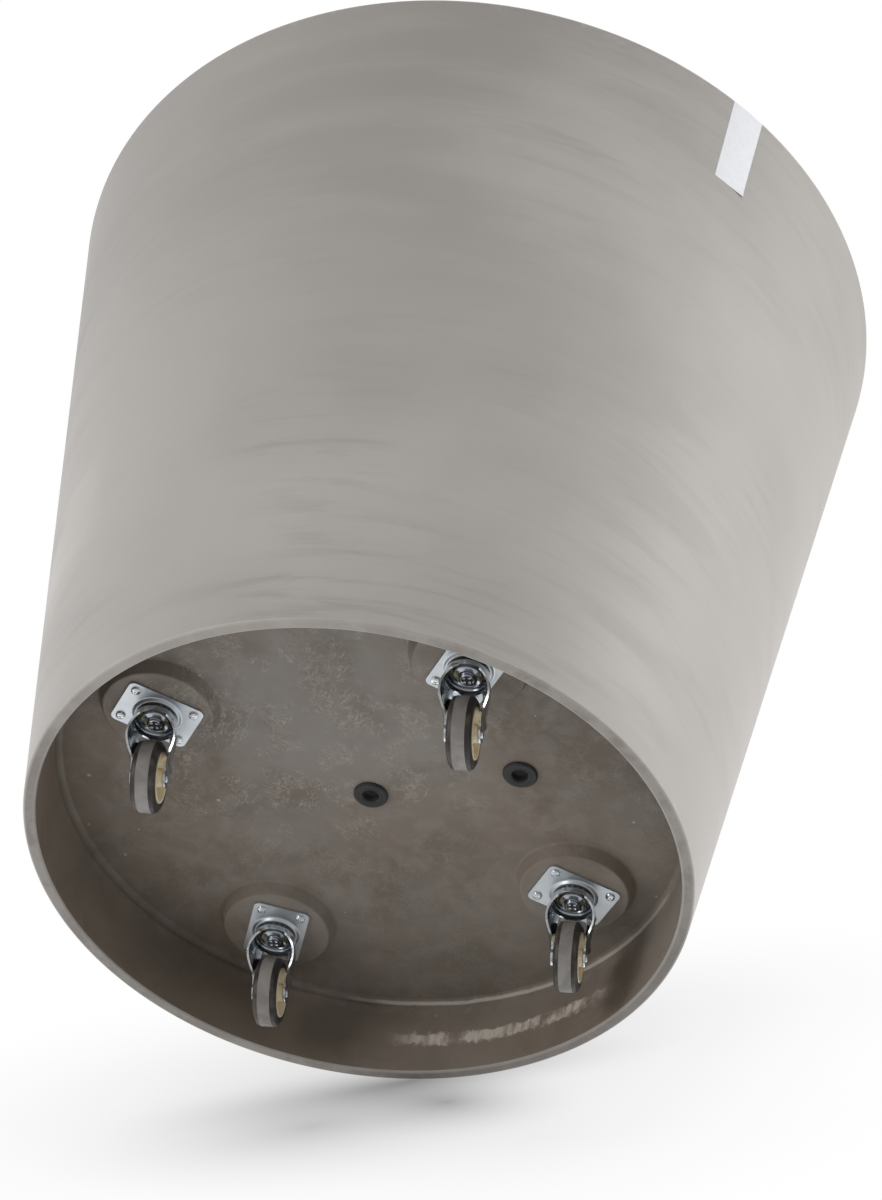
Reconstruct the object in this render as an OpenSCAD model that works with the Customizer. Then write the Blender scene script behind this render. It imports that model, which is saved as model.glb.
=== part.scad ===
// Rolling planter: a round tapered pot on four swivel casters, with the
// casters set up inside the skirt so that only the wheels reach the ground.
// Origin on the ground under the pot's axis, +Z up, millimetres.

/* [Pot] */
// Outside diameter at the top rim
pot_top_d = 950; // [850:1:1300]
// Outside diameter at the lower edge of the skirt
pot_bottom_d = 705; // [670:1:820]
// Height from the lower edge of the skirt to the top rim
pot_h = 877; // [500:1:1200]
// Wall thickness
wall_t = 13; // [9:0.5:20]
// Thickness of the floor
floor_t = 12; // [8:0.5:20]
// Depth of the skirt under the floor
skirt_depth = 100; // [92:1:108]
// How much the skirt's inside narrows towards the floor, on the radius
skirt_draft = 0.5; // [0.2:0.1:3]
// Rounding of the rim and of the skirt's edge
edge_r = 3; // [1:0.5:4]
// Fillet between the skirt and the underside of the floor
skirt_fillet_r = 7; // [3:1:12]
// Fillet around the floor of the planting space
cavity_fillet_r = 25; // [10:1:40]

/* [Caster bosses] */
// Diameter of a boss at its face
boss_face_d = 117; // [112:1:124]
// Diameter of a boss at its foot
boss_foot_d = 132; // [126:1:140]
// Height of a boss under the floor
boss_h = 16; // [12:1:20]
// Radius of the circle that the casters stand on
caster_circle_r = 245; // [225:1:255]

/* [Mounting plates] */
// Length of a mounting plate, along the pot's radius
plate_l = 84.5; // [80:0.5:90]
// Width of a mounting plate
plate_w = 62; // [58:0.5:68]
// Sheet thickness of a mounting plate
plate_t = 2.5; // [2:0.25:3]
// Corner radius of a mounting plate
plate_corner_r = 7; // [4:0.5:9]
// Hole spacing along a plate
hole_pitch_l = 66; // [62:0.5:68]
// Hole spacing across a plate
hole_pitch_w = 43; // [41:0.5:45]
// Width of a screw slot
slot_w = 6.5; // [5.5:0.25:7.5]
// Length of a screw slot
slot_l = 9; // [7.5:0.25:10]
// Depth of the ring pressed into a plate
dome_h = 3.5; // [3:0.25:4]
// Diameter of the pressed ring at its foot
dome_foot_d = 52; // [51:0.5:54]
// Diameter of the pressed ring at its crest
dome_crest_d = 47; // [46:0.5:48]

/* [Screws] */
// Diameter of a screw's head
screw_head_d = 10.5; // [9:0.25:11]
// Height of a screw's head
screw_head_h = 3; // [2:0.25:3.5]
// Diameter of a screw's shank
screw_d = 5; // [4:0.25:5]
// Length of a screw's shank
screw_l = 22; // [16:1:24]

/* [Swivel heads] */
// Height of a caster from the ground to the boss
caster_h = 98; // [96:1:104]
// Diameter of the kingpin
king_d = 8; // [7:0.5:9]
// Diameter of the kingpin's riveted end
king_rivet_d = 16; // [14:0.5:18]
// Diameter of an upper ball
upper_ball_d = 5; // [4.5:0.25:5]
// Radius of the upper ball race
upper_race_r = 16; // [15:0.5:17]
// Diameter of a lower ball
lower_ball_d = 4; // [3.5:0.25:4]
// Radius of the lower ball race
lower_race_r = 11.5; // [11:0.5:12]
// Outside radius of the lower race cup
cup_r = 16; // [15.5:0.25:16.5]

/* [Forks] */
// Sheet thickness of a fork
fork_t = 2.2; // [1.8:0.1:2.6]
// Outside radius of a fork's crown
crown_r = 23.3; // [22.5:0.1:24]
// Height of the crown with its rim
crown_h = 8.2; // [7.5:0.1:9]
// Distance from the kingpin to the axle, measured level
trail = 32.5; // [30:0.5:35]
// Radius of a leg's rounded end
eye_r = 11; // [9:0.5:12]
// Half of a fork's outside width at the axle
eye_half_w = 18.5; // [18:0.25:20]
// How far the legs swell out below the crown
leg_flare = 3.8; // [0:0.1:5]

/* [Wheels] */
// Diameter of a wheel
wheel_d = 76; // [70:1:78]
// Width of the flat running band
band_w = 13; // [12:0.5:16]
// Width of a tyre over its side walls
tyre_w = 26; // [24:0.5:27]
// Diameter of the hub where the tyre meets it
hub_d = 54; // [50:0.5:56]
// Width of the hub over its rim faces
hub_rim_w = 27; // [25:0.5:29]
// Diameter of the bolt through the wheel
axle_d = 8; // [7:0.5:8]
// Outside diameter of the sleeve that the hub turns on
sleeve_d = 12; // [11:0.5:13]
// Diameter of the bolt's low head and of its low round nut
axle_head_d = 11; // [10:0.5:13]

/* [Drain plugs and label] */
// Diameter of the drain holes
drain_d = 24; // [20:0.5:28]
// Diameter of a drain plug's flange
plug_flange_d = 37; // [32:0.5:42]
// Distance of the outer drain plug from the pot's axis
plug_offset = 168; // [60:1:170]
// Width of the label strip
label_w = 44; // [20:1:60]
// Length of the label strip down the outside of the wall
label_l = 124; // [60:1:200]

/* [Hidden] */
$fn = 96;

// Azimuth of each caster on the pot, of its plate against that radius, and
// of the direction in which its wheel trails
caster_azimuths = [45, 135, 225, 315];
plate_turns = [0, -14, 0, 0];
wheel_headings = [105, 104.5, 106.5, 104];
label_azimuth = -29.2;

// Fits between pieces, on the radius or on the gap
running_gap = 0.05;
seat_gap = 0.05;
// One overrun for every cut
over = 1;
// Points in a rounded corner of an outline
corner_steps = 6;
// Sides of the largest and of the smallest round forms
pot_steps = 180;
ball_steps = 32;

// Pot
ground_gap = caster_h + boss_h - skirt_depth;
top_z = ground_gap + pot_h;
floor_z = caster_h + boss_h;
skirt_mouth_r = pot_bottom_d / 2 - wall_t;
skirt_floor_r = skirt_mouth_r - skirt_draft;
function pot_r(z) = pot_bottom_d / 2 + (pot_top_d - pot_bottom_d) / 2 * (z - ground_gap) / pot_h;

// Label
label_t = 0.4;
label_inside_l = 30;

// Drain plugs
plug_flange_h = 4;
plug_recess_d = 18;
plug_recess_h = 9;
plug_above_floor = 4;
plug_chamfer = 2;
plug_edge_r = 1.2;

// Cross recess in a screw's head
cross_l = 5.25;
cross_w = 1.2;
cross_depth = 1.5;

// Swivel head, as depths under the face of the boss
race_groove_h = 1.1;
ball_fill_share = 0.9;
dome_under = dome_h + plate_t;
upper_ball_depth = dome_under - race_groove_h + upper_ball_d / 2 + running_gap;
crown_depth = upper_ball_depth + upper_ball_d / 2 - race_groove_h;
crown_under = crown_depth + fork_t;
lower_ball_depth = crown_under - race_groove_h + lower_ball_d / 2 + running_gap;
cup_t = 2;
cup_gap = 0.9;
cup_race_h = 0.6;
cup_floor = lower_ball_depth + lower_ball_d / 2 - cup_race_h;
cup_under = cup_floor + cup_t;
cup_corner_r = 2.5;
king_head_d = 18;
king_head_h = 2.8;
rivet_h = 2.8;
rivet_edge_r = 1;
stake_r = 1.7;
stake_circle_r = 3.9;
king_clearance = 3;

// Fork
rim_depth = crown_depth + crown_h;
shoulder_r = 4;
seat_over = 0.2;
axle_depth = caster_h - wheel_d / 2;
leg_drop = axle_depth - rim_depth;
leg_crown_half = 16.5;
leg_round_share = 0.7;
front_belly_share = 0.3;
end_angles = [18, 36, 54, 70, 84];
leg_rows = 12;
leg_end_rows = 3;
leg_columns = 8;
tyre_clearance = 1;
axle_seat_margin = 1;
leg_flat_from = 1 - (axle_head_d / 2 + axle_seat_margin) / leg_drop;

// Axle
bolt_head_h = 1.6;
nut_h = 2;
axle_head_edge_r = 1;
inner_half_w = eye_half_w - fork_t;

// Wheel
hub_end_gap = 0.4;
hub_boss_d = 20;
hub_wall_t = 3;
hub_fillet_r = 3;
hub_web_t = 8;
hub_lip_h = 1;
tyre_step_w = 1.2;
tyre_shoulder_drop = 2.2;
tyre_shoulder_w = 21;
tyre_foot_w = 23;
tyre_corner_r = 3;

function unit(v) = v / norm(v);
function mix(a, b, t) = a + (b - a) * t;

// Points that round the corner b of an outline a, b, c with a radius
function corner(a, b, c, r) =
    let (
        u = unit(a - b),
        v = unit(c - b),
        half = acos(u * v) / 2,
        p = b + u * r / tan(half),
        q = b + v * r / tan(half),
        m = b + unit(u + v) * r / sin(half)
    )
    [for (i = [0:corner_steps]) m + r * unit(mix(p - m, q - m, i / corner_steps))];

// An outline whose points may carry a third value, the corner's radius
function rounded(points) =
    let (n = len(points))
    [
        for (i = [0:n - 1])
            let (
                a = points[(i + n - 1) % n],
                b = points[i],
                c = points[(i + 1) % n]
            )
            each (len(b) == 2 ? [b] : corner([a.x, a.y], [b.x, b.y], [c.x, c.y], b[2]))
    ];

module rounded_rectangle(l, w, r) {
    square([l - 2 * r, w], center = true);
    square([l, w - 2 * r], center = true);
    for (x = [-1, 1], y = [-1, 1])
        translate([x * (l / 2 - r), y * (w / 2 - r)])
            circle(r);
}

module slot(l, w) {
    square([l - w, w], center = true);
    for (x = [-1, 1])
        translate([x * (l - w) / 2, 0])
            circle(d = w);
}

// Puts the children at caster k, with the boss's face at z = 0
module at_boss(k, azimuth) {
    a = caster_azimuths[k - 1];
    translate([caster_circle_r * cos(a), caster_circle_r * sin(a), caster_h])
        rotate(azimuth)
            children();
}

module at_plate(k) {
    at_boss(k, caster_azimuths[k - 1] + plate_turns[k - 1])
        children();
}

module at_fork(k) {
    at_boss(k, wheel_headings[k - 1])
        children();
}

// Puts the children on the axle, with their z axis along it
module at_axle(k) {
    at_fork(k)
        translate([trail, 0, -axle_depth])
            rotate([-90, 0, 0])
                children();
}

module at_screws() {
    for (x = [-1, 1], y = [-1, 1])
        translate([x * hole_pitch_l / 2, y * hole_pitch_w / 2, 0])
            children();
}

module at_plugs() {
    for (x = [0, plug_offset])
        translate([x, 0, floor_z])
            children();
}

// A round groove that a ring of balls runs in
module race(race_r, ball_d, depth) {
    translate([0, 0, -depth])
        rotate_extrude()
            translate([race_r, 0])
                circle(d = ball_d + 2 * running_gap);
}

module balls(race_r, ball_d, depth) {
    count = floor(180 / asin(ball_d / (2 * race_r)) * ball_fill_share);
    for (i = [0:count - 1])
        rotate(i * 360 / count)
            translate([race_r, 0, -depth])
                sphere(d = ball_d, $fn = ball_steps);
}

module pot_outline() {
    polygon(rounded([
        [0, floor_z],
        [skirt_floor_r, floor_z, skirt_fillet_r],
        [skirt_mouth_r, ground_gap, edge_r],
        [pot_bottom_d / 2, ground_gap, edge_r],
        [pot_top_d / 2, top_z, edge_r],
        [pot_top_d / 2 - wall_t, top_z, edge_r],
        [pot_r(floor_z + floor_t) - wall_t, floor_z + floor_t, cavity_fillet_r],
        [0, floor_z + floor_t]
    ]));
}

module pot_shell() {
    color("#a39f98")
        difference() {
            union() {
                rotate_extrude($fn = pot_steps)
                    pot_outline();
                for (k = [1:4])
                    at_boss(k, 0)
                        cylinder(d1 = boss_face_d, d2 = boss_foot_d, h = boss_h + over);
            }
            for (k = [1:4])
                at_plate(k)
                    at_screws()
                        translate([0, 0, -over])
                            cylinder(d = screw_d + 2 * seat_gap, h = screw_l - plate_t + 2 * over);
            at_plugs()
                translate([0, 0, -over])
                    cylinder(d = drain_d, h = floor_t + 2 * over);
        }
}

// The strip follows the rim's own outline at a distance
function rim_path(gap) =
    let (
        out = corner(
            [pot_r(top_z - label_l) + gap, top_z - label_l],
            [pot_r(top_z + gap) + gap, top_z + gap],
            [0, top_z + gap],
            edge_r + gap
        ),
        in = corner(
            [pot_top_d / 2, top_z + gap],
            [pot_top_d / 2 - wall_t - gap, top_z + gap],
            [pot_r(top_z - label_inside_l) - wall_t - gap, top_z - label_inside_l],
            edge_r + gap
        )
    )
    concat(
        [[pot_r(top_z - label_l) + gap, top_z - label_l]],
        out,
        in,
        [[pot_r(top_z - label_inside_l) - wall_t - gap, top_z - label_inside_l]]
    );

function reversed(points) = [for (i = [len(points) - 1:-1:0]) points[i]];

module label_strip() {
    color("#f4f4f2")
        rotate(label_azimuth)
            intersection() {
                rotate_extrude($fn = pot_steps)
                    polygon(concat(rim_path(seat_gap), reversed(rim_path(seat_gap + label_t))));
                translate([0, -label_w / 2, 0])
                    cube([pot_top_d, label_w, top_z + over]);
            }
}

module plug_outline() {
    stem_r = drain_d / 2 - running_gap;
    stem_top = floor_t + plug_above_floor;
    polygon(rounded([
        [0, plug_recess_h - plug_flange_h],
        [plug_recess_d / 2, plug_recess_h - plug_flange_h],
        [plug_recess_d / 2, -plug_flange_h, plug_edge_r],
        [plug_flange_d / 2, -plug_flange_h, plug_edge_r],
        [plug_flange_d / 2, 0],
        [stem_r, 0],
        [stem_r, stem_top - plug_chamfer],
        [stem_r - plug_chamfer, stem_top],
        [0, stem_top]
    ]));
}

module drain_plug(x) {
    color("#2b2b2c")
        translate([x, 0, floor_z])
            rotate_extrude()
                plug_outline();
}

module plate_flat() {
    translate([0, 0, -plate_t])
        linear_extrude(plate_t)
            difference() {
                rounded_rectangle(plate_l, plate_w, plate_corner_r);
                circle(d = dome_foot_d);
                at_screws()
                    slot(slot_l, slot_w);
            }
}

module plate_dome() {
    rotate_extrude()
        polygon(rounded([
            [dome_foot_d / 2, 0],
            [dome_foot_d / 2, -plate_t],
            [dome_crest_d / 2, -dome_under, plate_t / 2],
            [king_d / 2 + seat_gap, -dome_under],
            [king_d / 2 + seat_gap, -dome_h],
            [dome_crest_d / 2 - plate_t, -dome_h],
            [dome_foot_d / 2 - plate_t, 0]
        ]));
}

module mounting_plate(k) {
    color("#c9cdd0")
        at_plate(k)
            difference() {
                union() {
                    plate_flat();
                    plate_dome();
                }
                race(upper_race_r, upper_ball_d, upper_ball_depth);
            }
}

module screw() {
    head_r = screw_head_d / 2;
    dome_r = (head_r * head_r + screw_head_h * screw_head_h) / (2 * screw_head_h);
    difference() {
        intersection() {
            translate([0, 0, -plate_t - screw_head_h])
                cylinder(d = screw_head_d, h = screw_head_h);
            translate([0, 0, dome_r - plate_t - screw_head_h])
                sphere(r = dome_r);
        }
        for (a = [0, 90])
            rotate(a)
                translate([0, 0, -plate_t - screw_head_h])
                    cube([cross_l, cross_w, 2 * cross_depth], center = true);
    }
    translate([0, 0, -plate_t])
        cylinder(d = screw_d, h = screw_l);
}

module plate_screws(k) {
    color("#d5d8da")
        at_plate(k)
            at_screws()
                screw();
}

module kingpin(k) {
    color("#b9bdc1")
        at_fork(k)
            difference() {
                rotate_extrude()
                    polygon(rounded([
                        [0, king_head_h - dome_h],
                        [king_head_d / 2, king_head_h - dome_h, rivet_edge_r],
                        [king_head_d / 2, -dome_h],
                        [king_d / 2, -dome_h],
                        [king_d / 2, -cup_under],
                        [king_rivet_d / 2, -cup_under],
                        [king_rivet_d / 2, -cup_under - rivet_h, rivet_edge_r],
                        [0, -cup_under - rivet_h]
                    ]));
                for (a = [45:90:315])
                    rotate(a)
                        translate([stake_circle_r, 0, -cup_under - rivet_h])
                            sphere(r = stake_r, $fn = ball_steps);
            }
}

module lower_race_cup(k) {
    color("#8d9196")
        at_fork(k)
            difference() {
                rotate_extrude()
                    polygon(rounded([
                        [king_d / 2 + seat_gap, -cup_floor],
                        [cup_r - cup_t, -cup_floor],
                        [cup_r - cup_t, -crown_under - cup_gap],
                        [cup_r, -crown_under - cup_gap],
                        [cup_r, -cup_under, cup_corner_r],
                        [king_d / 2 + seat_gap, -cup_under]
                    ]));
                race(lower_race_r, lower_ball_d, lower_ball_depth);
            }
}

module upper_balls(k) {
    color("#c4c7ca")
        at_fork(k)
            balls(upper_race_r, upper_ball_d, upper_ball_depth);
}

module lower_balls(k) {
    color("#c4c7ca")
        at_fork(k)
            balls(lower_race_r, lower_ball_d, lower_ball_depth);
}

// The crown is a shallow drawn cup whose rim carries the legs
module crown() {
    wall = fork_t + 2 * seat_over;
    out_r = crown_r + seat_over;
    rotate_extrude()
        polygon(rounded([
            [king_d / 2 + king_clearance, -crown_depth],
            [out_r, -crown_depth, shoulder_r],
            [out_r, -rim_depth],
            [out_r - wall, -rim_depth],
            [out_r - wall, -crown_under, shoulder_r - fork_t],
            [king_d / 2 + king_clearance, -crown_under]
        ]));
}

// Leg: a sheet that leaves the round crown as part of its cylinder, swells
// out a little, flattens and draws in to the flat eye at the axle. It stays
// clear of the tyre, and is flat all round the seats of the axle's heads.
// s runs down the leg: 0 at the crown's rim, 1 at the axle.
function leg_half_w(s) =
    let (t = min(1, max(0, s) / leg_flat_from))
    crown_r + leg_flare * sin(180 * t) - (crown_r - eye_half_w) * pow(t, 3);
function leg_round(s) = 1 - min(1, max(0, s) / leg_round_share);
function leg_front(s) =
    let (t = min(1, max(0, s)))
    mix(-leg_crown_half, trail - eye_r, mix(t, pow(t, 4), front_belly_share));
function leg_rear(s) = mix(leg_crown_half, trail + eye_r, min(1, max(0, s)));
function leg_y(x, s, inset) =
    let (r = leg_half_w(s) - inset)
    max(
        r - leg_round(s) * (r - sqrt(max(0, r * r - x * x))),
        tyre_w / 2 + tyre_clearance + fork_t - inset
    );

// One ring of the leg: its outer side from front to rear, then the inner
function leg_ring(depth, front, rear) =
    let (s = (depth - rim_depth) / leg_drop)
    concat(
        [
            for (i = [0:leg_columns])
                let (x = mix(front, rear, i / leg_columns))
                [x, leg_y(x, s, 0), -depth]
        ],
        [
            for (i = [leg_columns:-1:0])
                let (x = mix(front, rear, i / leg_columns))
                [x, leg_y(x, s, fork_t), -depth]
        ]
    );

leg_shares = concat(
    [for (i = [0:leg_rows]) leg_flat_from * i / leg_rows],
    [for (i = [1:leg_end_rows]) mix(leg_flat_from, 1, i / leg_end_rows)]
);
leg_rings = concat(
    [leg_ring(rim_depth - crown_h + shoulder_r, -leg_crown_half, leg_crown_half)],
    [for (s = leg_shares) leg_ring(mix(rim_depth, axle_depth, s), leg_front(s), leg_rear(s))],
    [
        for (a = end_angles)
            leg_ring(
                axle_depth + eye_r * sin(a),
                trail - eye_r * cos(a),
                trail + eye_r * cos(a)
            )
    ]
);

module leg() {
    n = 2 * (leg_columns + 1);
    m = len(leg_rings);
    last = (m - 1) * n;
    polyhedron(
        points = [for (ring = leg_rings) each ring],
        faces = concat(
            [
                for (j = [0:m - 2], i = [0:n - 1])
                    let (
                        a = j * n + i,
                        b = j * n + (i + 1) % n
                    )
                    each [[a, b + n, b], [a, a + n, b + n]]
            ],
            [
                for (i = [0:leg_columns - 1])
                    each [
                        [i, n - 2 - i, n - 1 - i],
                        [i, i + 1, n - 2 - i]
                    ]
            ],
            [
                for (i = [0:leg_columns - 1])
                    each [
                        [last + i, last + n - 1 - i, last + n - 2 - i],
                        [last + i, last + n - 2 - i, last + i + 1]
                    ]
            ]
        )
    );
}

module fork(k) {
    color("#b4b9be")
        at_fork(k)
            difference() {
                union() {
                    crown();
                    leg();
                    mirror([0, 1, 0])
                        leg();
                }
                race(upper_race_r, upper_ball_d, upper_ball_depth);
                race(lower_race_r, lower_ball_d, lower_ball_depth);
                translate([trail, 0, -axle_depth])
                    rotate([90, 0, 0])
                        cylinder(
                            d = axle_d + 2 * seat_gap,
                            h = 2 * (eye_half_w + over),
                            center = true
                        );
            }
}

// The bolt reaches through both legs and ends level with its nut
module axle_bolt(k) {
    color("#a8acb0")
        at_axle(k)
            rotate_extrude()
                polygon(rounded([
                    [0, -eye_half_w - nut_h],
                    [axle_d / 2, -eye_half_w - nut_h],
                    [axle_d / 2, eye_half_w],
                    [axle_head_d / 2, eye_half_w],
                    [axle_head_d / 2, eye_half_w + bolt_head_h, axle_head_edge_r],
                    [0, eye_half_w + bolt_head_h]
                ]));
}

module axle_nut(k) {
    color("#a8acb0")
        at_axle(k)
            rotate_extrude()
                polygon(rounded([
                    [axle_d / 2 + seat_gap, -eye_half_w - nut_h],
                    [axle_head_d / 2, -eye_half_w - nut_h, axle_head_edge_r],
                    [axle_head_d / 2, -eye_half_w],
                    [axle_d / 2 + seat_gap, -eye_half_w]
                ]));
}

module axle_sleeve(k) {
    color("#a0a4a8")
        at_axle(k)
            difference() {
                cylinder(d = sleeve_d, h = 2 * inner_half_w, center = true);
                cylinder(d = axle_d + 2 * seat_gap, h = 2 * (inner_half_w + over), center = true);
            }
}

// Half of the hub's section: bore, end face, dished side, rim and web
function hub_half() = [
    [sleeve_d / 2 + running_gap, inner_half_w - hub_end_gap],
    [hub_boss_d / 2, inner_half_w - hub_end_gap, hub_lip_h],
    [hub_boss_d / 2, hub_web_t / 2, hub_fillet_r],
    [hub_d / 2 - hub_wall_t, hub_web_t / 2, hub_fillet_r],
    [hub_d / 2 - hub_wall_t, hub_rim_w / 2, hub_lip_h],
    [hub_d / 2, hub_rim_w / 2]
];

function mirrored(points) = [
    for (p = reversed(points))
        [for (i = [0:len(p) - 1]) i == 1 ? -p[i] : p[i]]
];

module wheel_hub(k) {
    color("#d8c9a8")
        at_axle(k)
            rotate_extrude()
                polygon(rounded(concat(mirrored(hub_half()), hub_half())));
}

// Half of the tyre's section, from the hub out to the running band
function tyre_half() = [
    [hub_d / 2, tyre_foot_w / 2],
    [hub_d / 2 + tyre_step_w, tyre_w / 2, tyre_step_w / 2],
    [wheel_d / 2 - tyre_shoulder_drop - tyre_corner_r, tyre_w / 2, tyre_corner_r],
    [wheel_d / 2 - tyre_shoulder_drop / 2, tyre_shoulder_w / 2, tyre_corner_r / 2],
    [wheel_d / 2, band_w / 2]
];

module tyre(k) {
    color("#6f6d6b")
        at_axle(k)
            rotate_extrude()
                polygon(rounded(concat(mirrored(tyre_half()), tyre_half())));
}

pot_shell();
label_strip();
drain_plug(0);  // drain_plug_centre
drain_plug(plug_offset);  // drain_plug_side
for (k = [1:4]) {
    mounting_plate(k);
    plate_screws(k);
    kingpin(k);
    lower_race_cup(k);
    upper_balls(k);
    lower_balls(k);
    fork(k);
    axle_bolt(k);
    axle_nut(k);
    axle_sleeve(k);
    wheel_hub(k);
    tyre(k);
}
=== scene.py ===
import math

import bmesh
import bpy
from mathutils import Matrix, Vector


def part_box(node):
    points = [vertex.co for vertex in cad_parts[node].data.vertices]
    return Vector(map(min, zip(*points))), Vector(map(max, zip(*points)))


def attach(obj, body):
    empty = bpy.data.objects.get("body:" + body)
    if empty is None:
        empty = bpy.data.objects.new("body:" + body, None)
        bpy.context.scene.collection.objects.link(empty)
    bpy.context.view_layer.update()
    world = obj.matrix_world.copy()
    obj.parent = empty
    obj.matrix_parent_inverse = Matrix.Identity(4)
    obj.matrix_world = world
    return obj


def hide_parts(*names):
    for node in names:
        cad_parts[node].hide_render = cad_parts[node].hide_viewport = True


bl_info = {
    "name": "Rolling planter",
    "version": (1, 0, 0),
    "blender": (4, 5, 0),
    "location": "View3D > Sidebar > Planter",
    "description": "Dresses a round planter on four swivel casters with its visible pieces and finishes",
    "category": "Object",
}

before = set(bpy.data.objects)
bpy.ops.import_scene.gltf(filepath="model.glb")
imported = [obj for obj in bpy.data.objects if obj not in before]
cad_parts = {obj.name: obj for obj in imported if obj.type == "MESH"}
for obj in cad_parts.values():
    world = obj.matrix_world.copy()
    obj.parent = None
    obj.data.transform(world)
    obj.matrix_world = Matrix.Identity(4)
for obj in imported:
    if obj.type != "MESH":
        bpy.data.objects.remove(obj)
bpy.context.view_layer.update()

MM = 0.001
CASTERS = (1, 2, 3, 4)

# How close two points are when they touch, and when they are welded into one
TOUCHING = MM / 100
WELDED = MM / 500

# How far a face stands off the face that it would share, in millimetres
SEAT_GAP = 0.02


def middle(node):
    """Middle of a CAD node's box, in metres."""
    low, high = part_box(node)
    return (low + high) / 2


def high_mm(node):
    """Top of a CAD node's box, in millimetres."""
    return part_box(node)[1].z / MM


def low_mm(node):
    """Bottom of a CAD node's box, in millimetres."""
    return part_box(node)[0].z / MM


# Settings

def length(name, description, value, low, high):
    """A size in millimetres."""
    return bpy.props.FloatProperty(
        name=name, description=description, default=value, min=low, max=high, subtype="DISTANCE"
    )


def colour(name, description, value):
    return bpy.props.FloatVectorProperty(
        name=name, description=description, default=value, size=3, min=0, max=1, subtype="COLOR"
    )


def share(name, description, value):
    return bpy.props.FloatProperty(
        name=name, description=description, default=value, min=0, max=1, subtype="FACTOR"
    )


def vector(name, description, value, subtype, unit="NONE"):
    return bpy.props.FloatVectorProperty(
        name=name, description=description, default=value, size=3, subtype=subtype, unit=unit
    )


def power(name, description, value):
    return bpy.props.FloatProperty(
        name=name, description=description, default=value, min=0, max=1000, unit="POWER"
    )


class PotSettings(bpy.types.PropertyGroup):
    """Sizes of the moulded pot, in millimetres."""

    top_radius: length("Top radius", "Outside radius at the top rim", 475.0, 400, 600)
    foot_radius: length("Foot radius", "Outside radius at the skirt's edge", 352.5, 300, 450)
    wall: length("Wall", "Thickness of the wall", 13.0, 8, 20)
    floor: length("Floor", "Thickness of the floor", 12.0, 8, 20)
    edge: length("Edge rounding", "Rounding of the rim and of the skirt's edge", 3.0, 1, 6)
    boss_radius: length("Boss radius", "Radius of a caster boss at its face", 58.5, 50, 70)
    boss_slope: length("Boss slope", "How far a boss widens towards the floor", 6.5, 2, 15)
    drain_radius: length("Drain radius", "Radius of a drain hole", 12.0, 8, 16)


class CasterSettings(bpy.types.PropertyGroup):
    """Sizes of a swivel caster, in millimetres."""

    plate_length: length("Plate length", "Length of the mounting plate", 84.5, 70, 100)
    plate_width: length("Plate width", "Width of the mounting plate", 62.0, 50, 80)
    plate_sheet: length("Plate sheet", "Sheet thickness of the mounting plate", 2.5, 1, 4)
    hole_pitch_long: length("Hole pitch, long", "Spacing of the slots along the plate", 66.0, 50, 80)
    hole_pitch_short: length("Hole pitch, short", "Spacing of the slots across the plate", 43.0, 30, 60)
    fork_sheet: length("Fork sheet", "Sheet thickness of the fork", 2.2, 1, 4)
    crown_radius: length("Crown radius", "Outside radius of the fork's crown", 23.3, 18, 30)
    trail: length("Trail", "Level distance from the kingpin to the axle", 32.5, 20, 45)
    eye_radius: length("Eye radius", "Radius of a leg's rounded end", 11.0, 8, 14)
    eye_half_width: length("Eye half width", "Half of the fork's width at the axle", 18.5, 14, 24)


class WheelSettings(bpy.types.PropertyGroup):
    """Sizes of a wheel, in millimetres."""

    radius: length("Wheel radius", "Radius of the running band", 38.0, 30, 50)
    band: length("Running band", "Width of the flat running band", 13.0, 8, 20)
    tyre: length("Tyre width", "Width of the tyre over its side walls", 26.0, 18, 30)
    hub_radius: length("Hub radius", "Radius of the hub where the tyre meets it", 27.0, 20, 32)
    hub_width: length("Hub width", "Width of the hub over its rim faces", 27.0, 18, 32)


class FinishSettings(bpy.types.PropertyGroup):
    """Colours of the finishes, and the wear and painted highlight of the pot's edges."""

    composite: colour("Composite", "Stone grey of the pot's outside", (0.34, 0.315, 0.292))
    composite_dark: colour("Composite, clouded", "Darker clouds on the outside", (0.3, 0.277, 0.256))
    underside: colour("Underside", "Brown grey under the floor", (0.205, 0.164, 0.127))
    underside_pale: colour("Underside, pale", "Paler patches under the floor", (0.255, 0.224, 0.19))
    zinc: colour("Zinc", "Bright zinc plating", (0.78, 0.81, 0.84))
    nylon: colour("Nylon", "Beige nylon of the hubs", (0.95, 0.84, 0.6))
    rubber: colour("Rubber", "Brown grey rubber of the tyres", (0.03, 0.026, 0.023))
    band: colour("Running band", "Dusty rubber of the running band", (0.29, 0.27, 0.25))
    # Wear also sets how strong the painted highlight on the pot's rounded edges is.
    wear: share("Wear", "How pale the worn edges are", 0.6)


class StageSettings(bpy.types.PropertyGroup):
    """Camera, lights and floor."""

    camera_place: vector(
        "Camera place", "Where the camera stands", (1.35665, -2.49801, -2.44351), "TRANSLATION", "LENGTH"
    )
    camera_turn: vector(
        "Camera turn", "How the camera is turned", (2.370881, -0.145483, 0.338701), "EULER", "ROTATION"
    )
    lens: bpy.props.FloatProperty(
        name="Lens", description="Focal length for a 36 mm wide sensor", default=108.23, min=20, max=300
    )
    up: vector(
        "Up", "Direction away from the ground that the planter leans on", (0.176779, -0.771392, 0.611313),
        "DIRECTION",
    )
    key: power("Key light", "Power of the large soft light", 36)
    side: power("Side light", "Power of the soft light at the side", 66)
    surround: bpy.props.FloatProperty(
        name="Surround", description="Strength of the white surround", default=1.08, min=0, max=5
    )


SETTINGS = {
    "planter_pot": PotSettings,
    "planter_caster": CasterSettings,
    "planter_wheel": WheelSettings,
    "planter_finish": FinishSettings,
    "planter_stage": StageSettings,
}


# Modelling steps

def select_only(obj):
    bpy.ops.object.select_all(action="DESELECT")
    obj.select_set(True)
    bpy.context.view_layer.objects.active = obj


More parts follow.
